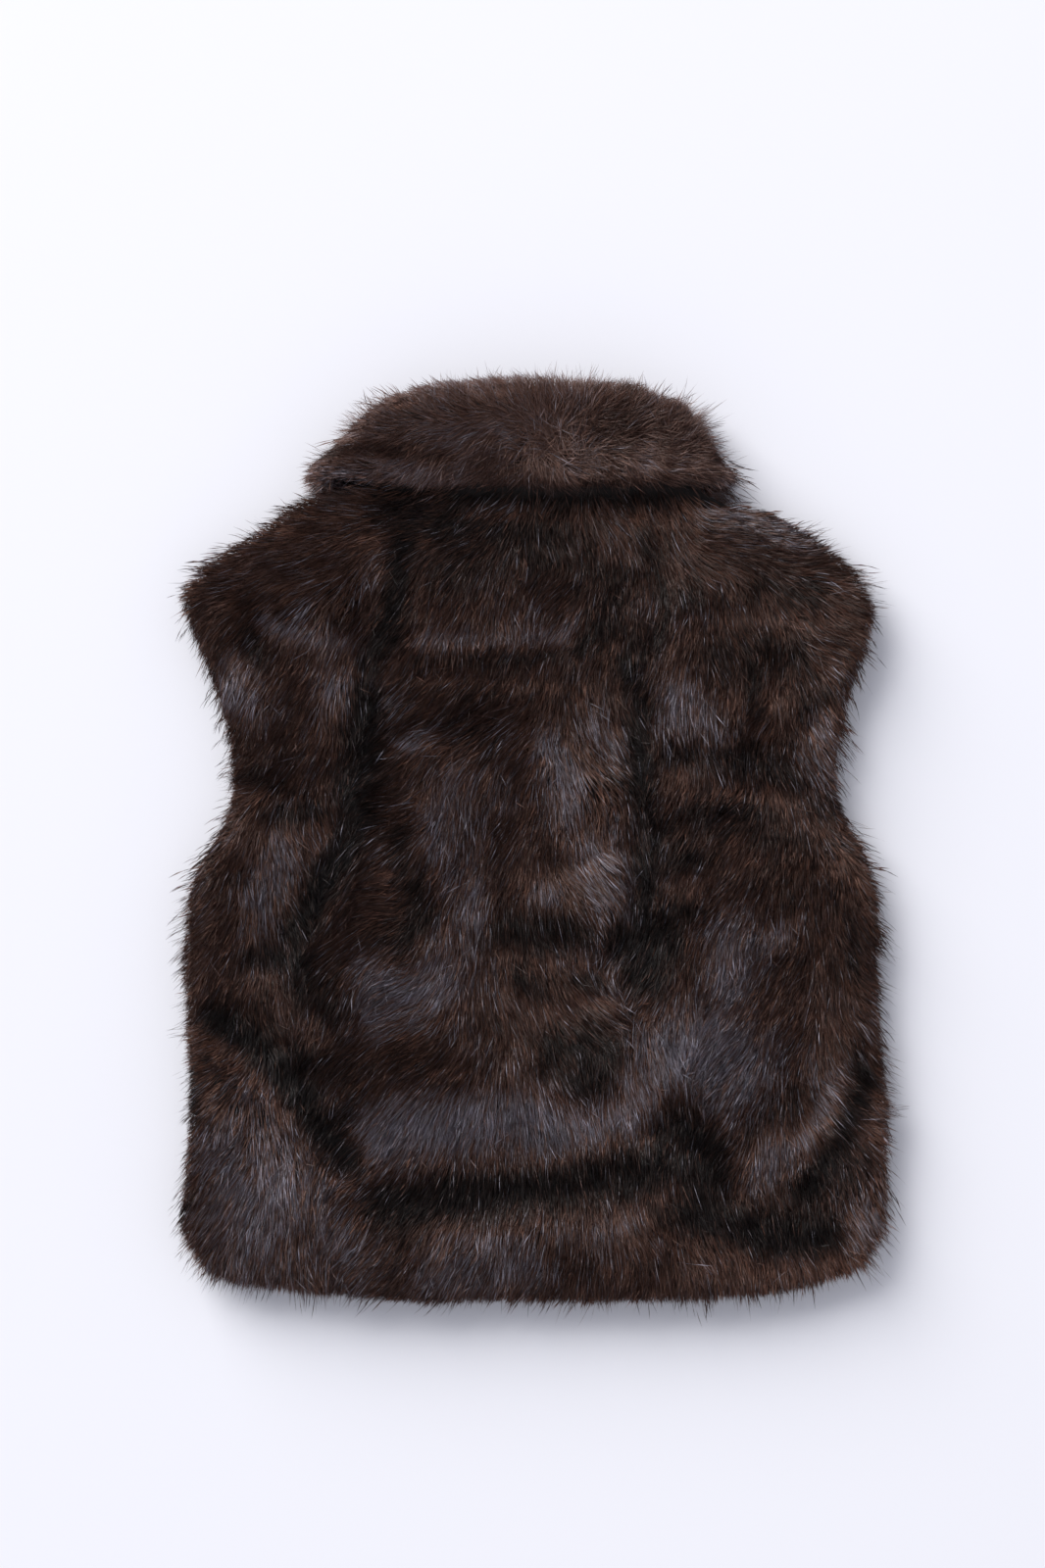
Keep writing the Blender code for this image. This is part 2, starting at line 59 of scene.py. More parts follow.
# Lie of the nap on the back and collar, read off the photo: column and row of a pixel, degrees
napReadings = (
    (375, 470, 172), (389, 392, 122), (263, 528, 155), (198, 569, 152), (177, 602, 184),
    (176, 612, 215), (309, 569, 196), (299, 615, 225), (340, 500, 170), (345, 440, 150),
    (330, 545, 190), (240, 580, 190), (499, 469, 200), (450, 499, 207), (483, 511, 222),
    (433, 391, 112), (470, 392, 100), (520, 388, 95), (566, 388, 92), (610, 388, 90), (632, 388, 86),
    (615, 478, -60), (599, 456, 14), (649, 463, -15), (599, 511, -80), (556, 514, -100),
    (574, 536, -70), (610, 530, -55), (450, 602, 235), (516, 602, -110), (566, 591, -125),
    (430, 440, 180), (470, 430, 172), (410, 410, 150), (520, 430, 185), (550, 420, 120), (580, 425, 60),
    (530, 480, 215), (560, 480, -90), (590, 410, 80), (640, 420, 50), (640, 440, 30), (657, 453, 10),
    (673, 470, -55), (710, 476, -52), (657, 499, -78), (715, 436, 28), (657, 380, 80), (690, 403, 62),
    (726, 431, 45), (740, 456, 8), (749, 476, -10), (766, 508, -25), (794, 521, 18), (841, 543, 30),
    (864, 562, -10), (889, 589, 5), (740, 528, -38), (789, 545, -5), (831, 569, 12), (723, 552, -22),
    (665, 532, -60), (673, 550, -80), (756, 602, -92), (681, 599, -100), (822, 610, -50),
    (839, 590, -10), (700, 500, -70), (735, 490, -45), (690, 430, 50), (177, 617, 212), (201, 641, 248),
    (193, 666, 236), (226, 691, 268), (293, 650, 244), (306, 625, 232), (334, 666, 254),
    (359, 700, 264), (276, 741, 254), (301, 744, 242), (351, 741, 267), (218, 749, 226),
    (226, 774, 204), (240, 797, 160), (240, 812, 178), (235, 832, 205), (268, 832, 245),
    (293, 840, -72), (276, 848, -82), (243, 840, 225), (326, 840, -62), (359, 840, 232),
    (409, 807, 186), (409, 759, 206), (395, 641, 240), (255, 720, 262), (205, 700, 238),
    (433, 617, 238), (450, 658, 250), (499, 655, 254), (524, 633, -96), (586, 628, 248),
    (541, 658, -100), (433, 716, 226), (466, 708, 240), (417, 757, 206), (466, 741, 200),
    (516, 719, 208), (541, 762, 212), (549, 774, 226), (566, 757, -82), (574, 799, -88),
    (599, 738, -62), (624, 757, -60), (607, 774, -65), (632, 708, -78), (620, 716, -70),
    (657, 683, 250), (417, 807, 188), (425, 824, 200), (446, 791, 244), (474, 815, 264),
    (516, 791, 236), (532, 815, 246), (491, 848, 264), (557, 820, 256), (615, 807, -84),
    (640, 824, -92), (632, 852, -88), (690, 633, 256), (739, 625, -84), (756, 641, -55),
    (673, 683, 260), (690, 716, -94), (715, 733, -88), (731, 749, -88), (789, 666, 250),
    (781, 724, 240), (773, 749, 257), (839, 650, -14), (880, 625, -15), (889, 650, -45),
    (872, 675, -68), (869, 700, -82), (839, 738, -50), (839, 766, -60), (847, 791, -60),
    (831, 749, -58), (856, 749, -66), (756, 816, 222), (673, 791, 236), (648, 816, -86),
    (864, 824, -40), (872, 840, -38), (723, 840, 240), (806, 832, -94), (810, 700, -75),
    (226, 865, 216), (193, 890, 203), (218, 906, 226), (259, 906, 254), (289, 890, 268),
    (309, 915, -87), (334, 857, 250), (342, 915, 228), (193, 939, 218), (193, 973, 236),
    (226, 989, 261), (276, 956, -80), (284, 1014, -75), (289, 1047, -62), (182, 998, 188),
    (193, 1022, 202), (201, 1055, 202), (210, 1089, 198), (351, 973, 230), (367, 1006, 235),
    (359, 948, 217), (376, 939, 202), (400, 923, 180), (409, 1006, 210), (376, 1064, 220),
    (342, 1072, 226), (409, 1055, 218), (309, 1055, 260), (240, 1060, 230), (250, 950, 255),
    (417, 998, 196), (417, 1022, 208), (433, 1047, 215), (417, 1064, 212), (450, 998, 235),
    (450, 956, 250), (450, 906, 246), (441, 881, 228), (483, 915, 262), (475, 948, -90),
    (499, 973, -95), (483, 1014, -92), (508, 1006, -95), (508, 1064, 255), (475, 1089, 230),
    (533, 906, -86), (557, 915, -88), (541, 964, -90), (579, 881, -38), (599, 873, -50),
    (615, 898, -60), (632, 890, -75), (645, 865, -85), (640, 931, 256), (566, 981, -62),
    (579, 1019, -56), (591, 1042, -46), (607, 1031, -45), (549, 1031, -88), (533, 1064, -90),
    (599, 1064, -88), (649, 1031, 252), (649, 1072, -82), (516, 998, -70), (649, 894, -88),
    (685, 881, -120), (711, 902, 246), (694, 911, -94), (729, 902, 236), (720, 929, 246),
    (747, 956, 254), (711, 965, 262), (747, 992, 245), (792, 965, 232), (801, 929, 257),
    (827, 885, -88), (836, 911, -92), (854, 911, -84), (872, 908, -52), (890, 893, -12),
    (899, 920, -14), (890, 938, -20), (872, 929, -58), (881, 947, -62), (890, 969, -26),
    (890, 1010, -15), (881, 1036, -34), (890, 1063, -38), (854, 1001, -70), (854, 965, -80),
    (819, 1001, 262), (792, 1001, 250), (747, 1036, 238), (729, 1072, 242), (702, 1063, 268),
    (676, 1063, -72), (667, 1054, -58), (765, 1063, 240), (801, 1036, 245), (819, 1072, 262),
    (872, 1054, -72), (690, 1019, -82), (667, 1019, 242), (770, 890, 250), (760, 860, 235),
    (193, 1097, 198), (193, 1138, 214), (218, 1105, 225), (235, 1146, 232), (218, 1180, 244),
    (201, 1221, 240), (243, 1196, 240), (276, 1151, -88), (286, 1171, -88), (301, 1213, -89),
    (251, 1229, 249), (326, 1221, -87), (359, 1209, 224), (367, 1224, 226), (351, 1254, 242),
    (334, 1271, 264), (276, 1271, 255), (193, 1262, 224), (210, 1287, 236), (226, 1312, 242),
    (293, 1320, 263), (376, 1296, 238), (376, 1146, 232), (400, 1155, 240), (400, 1188, 245),
    (351, 1121, 236), (392, 1097, 226), (392, 1238, 236), (260, 1121, 262), (400, 1329, 234),
    (340, 1180, 250), (417, 1105, 223), (483, 1097, 230), (425, 1155, 240), (475, 1146, 246),
    (516, 1130, 261), (558, 1146, -88), (616, 1146, -92), (649, 1105, -84), (655, 1121, 260),
    (450, 1188, 240), (499, 1179, 261), (549, 1188, -88), (591, 1196, -93), (566, 1229, -95),
    (450, 1246, 243), (475, 1267, 240), (533, 1266, -93), (566, 1262, -88), (640, 1246, -76),
    (499, 1304, 246), (566, 1296, 253), (632, 1304, 250), (582, 1329, 234), (466, 1329, 232),
    (520, 1225, 255), (658, 1116, -88), (694, 1098, -92), (747, 1098, 241), (747, 1134, 236),
    (783, 1125, 239), (801, 1094, 257), (836, 1125, -65), (854, 1101, -56), (845, 1143, -60),
    (801, 1169, -92), (819, 1187, -85), (756, 1187, 250), (774, 1205, -88), (711, 1205, -66),
    (765, 1237, -66), (729, 1250, -62), (828, 1223, -86), (863, 1237, -60), (881, 1196, -74),
    (899, 1178, -42), (908, 1112, -28), (908, 1137, -20), (908, 1160, -32), (911, 1196, -58),
    (881, 1250, -64), (908, 1259, -48), (899, 1282, -42), (881, 1294, -60), (836, 1309, -76),
    (801, 1294, -85), (747, 1303, -80), (694, 1303, -84), (711, 1330, -66), (658, 1330, 240),
    (620, 1270, -85), (680, 1160, -88),
)
# Where the fur's edge stands out past the solids' outline or falls short of it: x, y, reach, distance out
edgeShapes = (
    (-254, 176, 16, 4.0), (-80, 330, 18, 6.0), (72, 330, 18, 6.0), (-4, 332, 42, 3.5),
    (104, 314, 14, -3.5), (-108, 314, 12, -2.5), (-166, 250, 18, 9.0), (158, 246, 16, 10.0),
    (140, 272, 13, -8.0), (154, 258, 9, -6.0), (-250, -88, 16, 2.5), (-252, -274, 18, 4.0),
    (238, 184, 14, 3.0), (222, 66, 30, -3.0), (-140, 253, 14, 6.0), (120, 252, 14, 6.0),
)
# Patches where the pile looks silvery from painted sheen, near black from painted shade and warm brown from
# its lighter under-layer with a painted highlight,
# read off the photo in the same way: column, row, half length and half width in pixels, turn in degrees
paintedSheenPatches = (
    (625, 905, 58, 26, 100), (578, 805, 42, 24, 85), (557, 915, 22, 14, 0), (478, 930, 46, 18, 85),
    (425, 1015, 32, 20, 25), (382, 1010, 34, 16, 60), (290, 895, 44, 20, 88), (264, 906, 30, 16, 70),
    (272, 950, 26, 22, 60), (747, 990, 46, 26, 75), (790, 962, 28, 14, 40), (728, 1082, 62, 28, 20),
    (748, 1128, 34, 18, 60), (846, 1120, 46, 13, 120), (800, 1178, 34, 22, 0), (425, 1160, 44, 38, 45),
    (520, 1150, 62, 26, 0), (612, 1152, 58, 22, 8), (645, 1105, 30, 18, 90), (500, 1270, 52, 14, 0),
    (290, 1212, 66, 52, 0), (240, 1205, 40, 30, 60), (345, 1262, 34, 18, 70), (878, 1242, 26, 24, 60),
    (500, 655, 24, 9, 5), (458, 660, 22, 11, 10), (585, 631, 16, 9, 70), (300, 638, 26, 18, 20),
    (308, 622, 14, 7, 30), (345, 705, 26, 22, 90), (698, 735, 34, 28, 110), (838, 739, 14, 11, 0),
    (842, 785, 34, 15, 110), (422, 757, 26, 12, 25), (622, 760, 34, 14, 120), (650, 700, 22, 10, 80),
    (655, 838, 24, 12, 90), (240, 700, 34, 14, 80),
)
# Near black: painted shade in creases, troughs and recesses, and painted shadow under the collar
paintedShadePatches = (
    (404, 600, 62, 15, 95), (374, 782, 44, 20, 100), (338, 890, 44, 15, 60), (352, 850, 26, 12, 60),
    (656, 900, 74, 11, 92), (656, 968, 34, 24, 90), (650, 680, 56, 10, 95), (600, 655, 18, 11, 0),
    (500, 538, 110, 13, 0), (430, 528, 60, 11, 10), (640, 510, 60, 10, 0), (565, 960, 44, 17, 0),
    (700, 930, 30, 11, -10), (540, 1003, 26, 14, -30), (432, 1224, 58, 12, 0), (520, 1204, 66, 12, 8),
    (650, 1186, 52, 12, 12), (342, 1158, 36, 22, 60), (350, 1190, 34, 12, -10),
    (300, 1078, 50, 15, -20), (834, 1190, 50, 14, 58), (722, 1240, 56, 17, 0), (802, 1262, 48, 16, 0),
    (300, 830, 44, 14, 0), (392, 655, 32, 18, 40), (255, 662, 20, 14, 90), (448, 540, 26, 16, 0),
    (700, 615, 22, 12, 0), (600, 1000, 26, 12, 0), (430, 940, 26, 12, 30), (280, 965, 30, 9, 0),
    (870, 1100, 34, 9, 75), (768, 700, 40, 9, 95), (760, 770, 46, 12, 0), (740, 830, 60, 14, 0),
    (690, 880, 44, 10, 10), (610, 1095, 30, 14, 90), (560, 945, 30, 12, 0), (872, 985, 40, 8, 95),
    (195, 1115, 34, 9, 95), (185, 1240, 20, 7, 60), (260, 1052, 34, 12, 0), (640, 1205, 40, 12, 0),
    (620, 640, 26, 14, 0),
)
# Warm brown: lighter under-layer where the pile parts over ridges and rolls, with a painted highlight where
# light falls on them
warmAndHighlightPatches = (
    (242, 815, 30, 22, 90), (252, 848, 36, 18, 20), (232, 1078, 26, 15, -20), (203, 962, 44, 13, 92),
    (206, 1058, 24, 14, 60), (892, 900, 44, 16, 92), (896, 1150, 44, 13, 92), (884, 600, 22, 14, 0),
    (738, 440, 28, 20, 40), (640, 402, 24, 12, 0), (604, 414, 28, 12, 0), (745, 478, 18, 9, -40),
    (884, 650, 26, 16, 60), (200, 600, 16, 18, 60), (700, 1322, 40, 8, 0), (790, 730, 30, 16, 80),
    (640, 1322, 34, 8, 0), (230, 1300, 34, 8, -20), (900, 1250, 20, 10, 90), (520, 430, 70, 14, 0),
    (440, 470, 40, 12, 10), (385, 430, 20, 14, 60), (500, 500, 40, 8, 10), (330, 1330, 60, 7, -3),
    (480, 1334, 60, 7, 0), (850, 1305, 40, 9, 12), (460, 620, 40, 26, 60), (560, 600, 40, 22, 0),
    (300, 590, 60, 18, 20), (830, 560, 30, 10, -10), (720, 1100, 10, 8, 0), (330, 740, 30, 14, 60),
    (220, 740, 24, 8, 95), (860, 770, 26, 7, 100),
)
# Longer folds of painted shade, bands of painted sheen and warm rolls with a painted highlight, in the same
# three looks and in millimetres:
# half width, strength, points along them
# Painted shade along folds and troughs, and painted shadow under the collar's fall
paintedShadeBands = (
    (9, 0.8, (-95, 218), (-98, 180), (-104, 158), (-118, 140), (-121, 112)),
    (13, 0.85, (-122, 100), (-122, 60), (-130, 40), (-124, 18), (-136, -5)),
    (11, 0.95, (-136, -5), (-155, -35), (-172, -64)), (14, 0.6, (-176, -66), (-166, -98), (-146, -122)),
    (12, 0.95, (-230, -124), (-206, -138), (-184, -158), (-167, -182), (-152, -207), (-132, -226)),
    (17, 0.85, (-108, -260), (-80, -257), (-40, -252)), (15, 0.85, (-40, -251), (0, -247), (40, -243)),
    (17, 0.85, (40, -243), (72, -238), (98, -226)), (18, 0.85, (100, -204), (116, -214), (120, -240)),
    (16, 0.9, (112, -262), (160, -280), (206, -280)),
    (11, 0.9, (234, -168), (224, -200), (212, -226), (194, -248)),
    (9, 0.85, (66, 128), (76, 98), (73, 60), (77, 30), (81, 0), (79, -30), (76, -60)),
    (18, 0.92, (66, -72), (88, -66), (78, -92)), (20, 0.7, (22, -152), (48, -150), (38, -170)),
    (9, 0.7, (-22, -62), (20, -60), (42, -72)), (5, 0.55, (-112, 247), (-60, 244)),
    (6, 0.75, (-60, 244), (-20, 246), (20, 246), (46, 250)),
    (6, 0.45, (46, 250), (84, 254), (118, 256)), (13, 0.6, (-112, 236), (-84, 234)),
    (4, 0.5, (-160, 276), (-130, 281), (-98, 278), (-64, 272)), (17, 0.28, (62, 302), (106, 284)),
    (8, 0.6, (80, 214), (91, 188), (92, 158), (84, 138)), (9, 0.6, (-202, 146), (-196, 128)),
    (11, 0.6, (98, 66), (132, 60), (166, 50), (192, 44), (212, 26)), (10, 0.5, (206, 108), (196, 98)),
    (11, 0.5, (-96, 2), (-84, -42), (-96, -80)), (6, 0.5, (-212, 47), (-186, 44), (-158, 34)),
    (8, 0.85, (-200, -80), (-166, -84)), (6, 0.4, (236, -74), (238, -112), (232, -150)),
    (13, 0.6, (232, -226), (222, -252)), (14, 0.5, (158, -196), (182, -184)),
    (14, 0.45, (164, 182), (196, 176)), (14, 0.4, (100, 12), (140, 18), (176, 8)),
    (14, 0.4, (132, 128), (160, 136), (188, 128)), (5, 0.6, (-84, 132), (-30, 133), (40, 135)),
    (4, 0.5, (-186, 164), (-160, 158), (-128, 150)), (34, 0.45, (-50, 200), (20, 196), (50, 180)),
    (12, 0.4, (-60, 82), (-34, 74)),
)
# Bands of painted sheen
paintedSheenBands = (
    (21, 1.0, (-116, -212), (-92, -206), (-58, -202), (-20, -198), (10, -206)),
    (16, 0.85, (10, -206), (42, -202), (72, -190)), (17, 0.85, (-218, -236), (-206, -250)),
    (13, 0.6, (72, -190), (88, -164), (92, -140)), (28, 1.0, (102, -150), (128, -150), (146, -172)),
    (9, 0.75, (222, -166), (212, -186), (200, -205), (185, -222), (165, -238)),
    (12, 0.5, (166, -228), (156, -246)), (38, 0.6, (-212, -216), (-180, -236), (-200, -272)),
    (16, 0.5, (-152, -262), (-128, -296)), (8, 0.7, (-50, -284), (-18, -288)),
    (7, 0.4, (12, -282), (44, -278), (74, -270)), (14, 0.6, (-74, -306), (0, -304)),
    (12, 0.75, (8, 72), (16, 50), (24, 32)), (8, 0.6, (42, 84), (64, 64)),
    (15, 0.55, (40, -6), (46, -30), (58, -46)), (18, 0.35, (-56, 40), (-60, 0), (-52, -50), (-60, -90)),
    (13, 0.6, (-178, -2), (-190, -32), (-194, -60)), (20, 0.8, (-104, -102), (-84, -110), (-68, -100)),
    (13, 0.7, (-120, -94), (-114, -128)), (19, 0.65, (140, -66), (140, -98)),
    (13, 0.6, (196, 62), (212, 40)), (14, 0.6, (-76, -4), (-72, 10)),
    (15, 0.6, (102, 104), (116, 84), (126, 70)), (9, 0.6, (206, 88), (204, 48)),
    (8, 0.8, (-190, 156), (-150, 146)), (6, 0.7, (-84, 143), (-30, 145), (18, 146)),
    (7, 0.6, (-178, 154), (-150, 147), (-128, 140)), (14, 0.35, (-206, 116), (-198, 92)),
    (9, 0.25, (-150, 262), (-104, 260), (-62, 259)), (12, 0.45, (126, 240), (150, 234), (186, 220)),
    (13, 0.25, (236, -260), (228, -284)),
)
# Warm rolls and tufts: lighter under-layer with a painted highlight along them
warmAndHighlightBands = (
    (15, 0.95, (-214, 38), (-212, 20), (-214, 4)),
    (10, 0.75, (-242, -134), (-224, -154), (-205, -172), (-184, -198)),
    (15, 0.95, (98, 300), (128, 278)), (20, 0.8, (-204, 200), (-160, 210), (-128, 216)),
    (14, 0.7, (116, 244), (150, 232), (190, 216)), (10, 0.95, (-158, 254), (-128, 254)),
    (10, 0.95, (112, 256), (140, 252)), (12, 0.6, (232, -8), (240, -40)),
    (14, 0.5, (152, -116), (190, -124)), (14, 0.95, (-8, 308), (42, 314)),
    (14, 0.95, (-130, 296), (-98, 308)), (11, 0.9, (-150, 262), (-104, 261), (-60, 260)),
    (13, 0.95, (-244, -46), (-240, -94)), (12, 0.9, (-242, -108), (-238, -142)),
    (13, 0.5, (-90, 314), (-20, 300)), (9, 0.6, (246, -186), (246, -214)),
    (14, 0.6, (2, -24), (14, -40)),
    (11, 0.95, (-214, -308), (-182, -318), (-100, -324), (40, -326), (140, -322), (216, -308)),
)
# The dark tone is the painted shade; the warm tone is the lighter under-layer that carries a painted
# highlight
patchTones = {"paintedShade": 0.03, "warmAndHighlight": 0.62}   # the tone that each of these two looks turns the pile to
# Grids of nap and tone: their step and size, and how far a reading of the nap counts fully
napGrid = {"step": 4.0, "halfWidth": 300.0, "halfLength": 372.0, "nearby": 9.0, "around": 20.0}
patchEdge = {"peak": 0.65, "power": 1.3, "fade": 0.8}   # how a round patch of tone fades out
bandEdge = {"power": 2.6, "fade": 0.7}                  # and a band
noiseCells = 32   # after so many cells the tables of random numbers repeat
farAway = 1e9     # more than any distance on the vest


# sRGB hex to the linear colour that a socket takes
def linear(code):
    parts = [int(code[i:i + 2], 16) / 255 for i in (0, 2, 4)]
    return [p / 12.92 if p <= 0.04045 else ((p + 0.055) / 1.055) ** 2.4 for p in parts] + [1.0]


# Adds one node; settings name its attributes or its input sockets, links name inputs and what feeds them
def addNode(tree, kind, settings=None, links=None):
    node = tree.nodes.new(kind)
    for name, value in (settings or {}).items():
        if name in node.inputs:
            node.inputs[name].default_value = value
        else:
            setattr(node, name, value)
    for name, output in (links or {}).items():
        tree.links.new(output, node.inputs[name])
    return node


def setRamp(node, stops):
    ramp = node.color_ramp
    while len(ramp.elements) < len(stops):
        ramp.elements.new(0.5)
    for element, (place, code) in zip(ramp.elements, stops):
        element.position = place
        element.color = linear(code)
    return node


# Smooth seeded noise from -1 to 1 at points in millimetres
def softNoise(points, cell, seed):
    table = np.random.default_rng(seed).uniform(-1, 1, (noiseCells, noiseCells, noiseCells))
    place = points / cell
    base = np.floor(place).astype(int)
    part = place - base
    part = part * part * (3 - 2 * part)
    total = np.zeros(len(points))
    for corner in np.ndindex(2, 2, 2):
        index = (base + corner) % noiseCells
        weight = np.prod(np.where(np.array(corner) == 1, part, 1 - part), axis=1)
        total += weight * table[index[:, 0], index[:, 1], index[:, 2]]
    return total


# The lock that each root belongs to: its middle, and three random numbers that all its hairs share
def locksOf(points, cell, seed):
    dice = np.random.default_rng(seed)
    size = (noiseCells, noiseCells, noiseCells, 3)
    jitter = dice.uniform(0.1, 0.9, size)
    traits = dice.uniform(-1, 1, size)
    base = np.floor(points / cell).astype(int)
    nearest = np.full(len(points), farAway)
    middles, shared = np.zeros((len(points), 3)), np.zeros((len(points), 3))
    for step in np.ndindex(3, 3, 3):
        index = base + np.array(step) - 1
        key = tuple((index % noiseCells).T)
        middle = (index + jitter[key]) * cell
        distance = ((middle - points) ** 2).sum(axis=1)
        closer = distance < nearest
        nearest[closer] = distance[closer]
        middles[closer] = middle[closer]
        shared[closer] = traits[key][closer]
    return middles, shared


# Adds layers of soft noise to a start value; each layer has its cell, its seed and its weight
def withNoise(start, points, layers):
    total = start
    for cell, seed, weight in layers:
        total = total + weight * softNoise(points, cell, seed)
    return total


def unit(vectors):
    return vectors / np.maximum(np.linalg.norm(vectors, axis=-1, keepdims=True), 1e-9)


def smoothStep(value, low, high):
    part = np.clip((value - low) / (high - low), 0, 1)
    return part * part * (3 - 2 * part)


# Grids over the laid vest, so that a root reads its nap and tone at once
def gridPoints():
    step = napGrid["step"]
    xs = np.arange(-napGrid["halfWidth"], napGrid["halfWidth"] + step, step)
    ys = np.arange(-napGrid["halfLength"], napGrid["halfLength"] + step, step)
    return np.meshgrid(xs, ys, indexing="ij")


# A grid's value at places in millimetres
def readGrid(grid, x, y):
    step = napGrid["step"]
    column = np.clip((x + napGrid["halfWidth"]) / step, 0, grid.shape[0] - 1.001)
    row = np.clip((y + napGrid["halfLength"]) / step, 0, grid.shape[1] - 1.001)
    i, j = column.astype(int), row.astype(int)
    a, b = column - i, row - j
    low = grid[i, j] * (1 - b) + grid[i, j + 1] * b
    high = grid[i + 1, j] * (1 - b) + grid[i + 1, j + 1] * b
    return low * (1 - a) + high * a


# Place on the part, in whole millimetres, of a pixel of the photo
def onPart(column, row):
    x = (column - photo["column"]) * photo["pixel"] + photo["placeX"]
    y = (photo["row"] - row) * photo["pixel"] + photo["placeY"]
    return round(x), round(y)


# Direction of the nap over the grid from the readings around, and how well they agree
def napField(nearby):
    gridX, gridY = gridPoints()
    across, along, total = np.zeros_like(gridX), np.zeros_like(gridX), np.zeros_like(gridX)
    for column, row, degrees in napReadings:
        x, y = onPart(column, row)
        away = (gridX - x) ** 2 + (gridY - y) ** 2 + nearby**2
        weight = 1 / away**2
        total += weight
        across += weight * math.cos(math.radians(degrees))
        along += weight * math.sin(math.radians(degrees))
    size = np.maximum(np.hypot(across, along), 1e-12)
    return across / size, along / size, size / total


# Share of a look over the grid: round patches and bands, the stronger of them at each point
def patchField(patches, bands):
    gridX, gridY = gridPoints()
    share = np.zeros_like(gridX)
    for column, row, longHalf, shortHalf, turn in patches:
        x, y = onPart(column, row)
        halfLength, halfWidth = round(longHalf * photo["pixel"]), round(shortHalf * photo["pixel"])
        c, s = math.cos(math.radians(turn)), math.sin(math.radians(turn))
        u = ((gridX - x) * c + (gridY - y) * s) / halfLength
        v = ((gridY - y) * c - (gridX - x) * s) / halfWidth
        fading = (u * u + v * v) ** patchEdge["power"] * patchEdge["fade"]
        share = np.maximum(share, patchEdge["peak"] * np.exp(-fading))
    for halfWidth, strength, *points in bands:
        for (x, y), (endX, endY) in zip(points, points[1:]):
            runX, runY = endX - x, endY - y
            along = np.clip(((gridX - x) * runX + (gridY - y) * runY) / (runX**2 + runY**2), 0, 1)
            away = np.hypot(gridX - x - along * runX, gridY - y - along * runY) / halfWidth
            share = np.maximum(share, strength * np.exp(-(away ** bandEdge["power"]) * bandEdge["fade"]))
    return share


# Reading the solids, in metres: how near points are merged, how high a view from above starts,
# how far off the wall and how far out a ray looks for room, and how far into it for the other side
walls = {"merge": 0.00002, "above": 0.2, "off": 0.0006, "room": 0.09, "inside": 0.0004, "deepest": 0.04}


# Merged copies of the CAD solids and a ray tree for each
def planShapes():
    shapes = {}
    for name in solids:
        mesh = bmesh.new()
        mesh.from_mesh(bpy.data.objects[name].data)
        bmesh.ops.remove_doubles(mesh, verts=mesh.verts, dist=walls["merge"])
        mesh.normal_update()
        shapes[name] = {"mesh": mesh, "tree": BVHTree.FromBMesh(mesh)}
    return shapes


# The solid that shows from above at a place in millimetres
def solidSeen(shapes, x, y):
    seen, height = None, -1.0
    start = Vector((x * millimetre, y * millimetre, walls["above"]))
    for name, shape in shapes.items():
        hit = shape["tree"].ray_cast(start, Vector((0, 0, -1)))
        if hit[0] is not None and hit[0].z > height:
            seen, height = name, hit[0].z
    return seen


# Segments of the outline that the named solids show from above: edges between a face that looks up and one
# that looks down, with one of the solids in view on one side of them only
def outlineSegments(shapes, names):
    segments = []
    for name in names:
        for edge in shapes[name]["mesh"].edges:
            if len(edge.link_faces) != 2:
                continue
            first, second = edge.link_faces
            if (first.normal.z > 0) == (second.normal.z > 0):
                continue
            start, end = (vert.co.xy / millimetre for vert in edge.verts)
            run = end - start
            if run.length < 0.01:
                continue
            middle = (start + end) / 2
            aside = Vector((-run.y, run.x)) / run.length * outlineStep
            views = [solidSeen(shapes, *(middle + aside * side)) in names for side in (1, -1)]
            if views[0] != views[1]:
                segments.append((start, end))
    return segments


# Distance in millimetres from that outline, below zero inside it, and its slope, which points outward
def outlineField(shapes, names):
    gridX, gridY = gridPoints()
    away = np.full(gridX.shape, farAway)
    for start, end in outlineSegments(shapes, names):
        runX, runY = end - start
        along = np.clip(((gridX - start.x) * runX + (gridY - start.y) * runY) / (runX**2 + runY**2), 0, 1)
        away = np.minimum(away, np.hypot(gridX - start.x - along * runX, gridY - start.y - along * runY))
    views = [solidSeen(shapes, x, y) in names for x, y in zip(gridX.ravel(), gridY.ravel())]
    away = np.where(np.array(views).reshape(gridX.shape), -away, away)
    for x, y, reach, out in edgeShapes:
        away = away - out * np.exp(-((gridX - x) ** 2 + (gridY - y) ** 2) / reach**2)
    slopeX, slopeY = np.gradient(away, napGrid["step"])
    return {"away": away, "slopeX": slopeX, "slopeY": slopeY}


solids = ("back_panel", "front_left", "front_right", "collar")
outlineStep = 1.5   # how far to each side of an edge the view is tested, in millimetres
planned = planShapes()
furEdge = outlineField(planned, solids)
fallEdge = outlineField(planned, ("collar",))
for shape in planned.values():
    shape["mesh"].free()
print("outline read off the solids")
napAcross, napAlong, _ = napField(napGrid["nearby"])
napEvenness = napField(napGrid["around"])[2]
# Shares over the grid of painted sheen, of painted shade and of the warm under-layer with its painted
# highlight
patchShares = {
    "paintedSheen": patchField(paintedSheenPatches, paintedSheenBands),
    "paintedShade": patchField(paintedShadePatches, paintedShadeBands),
    "warmAndHighlight": patchField(warmAndHighlightPatches, warmAndHighlightBands),
}
print("nap and patches set")


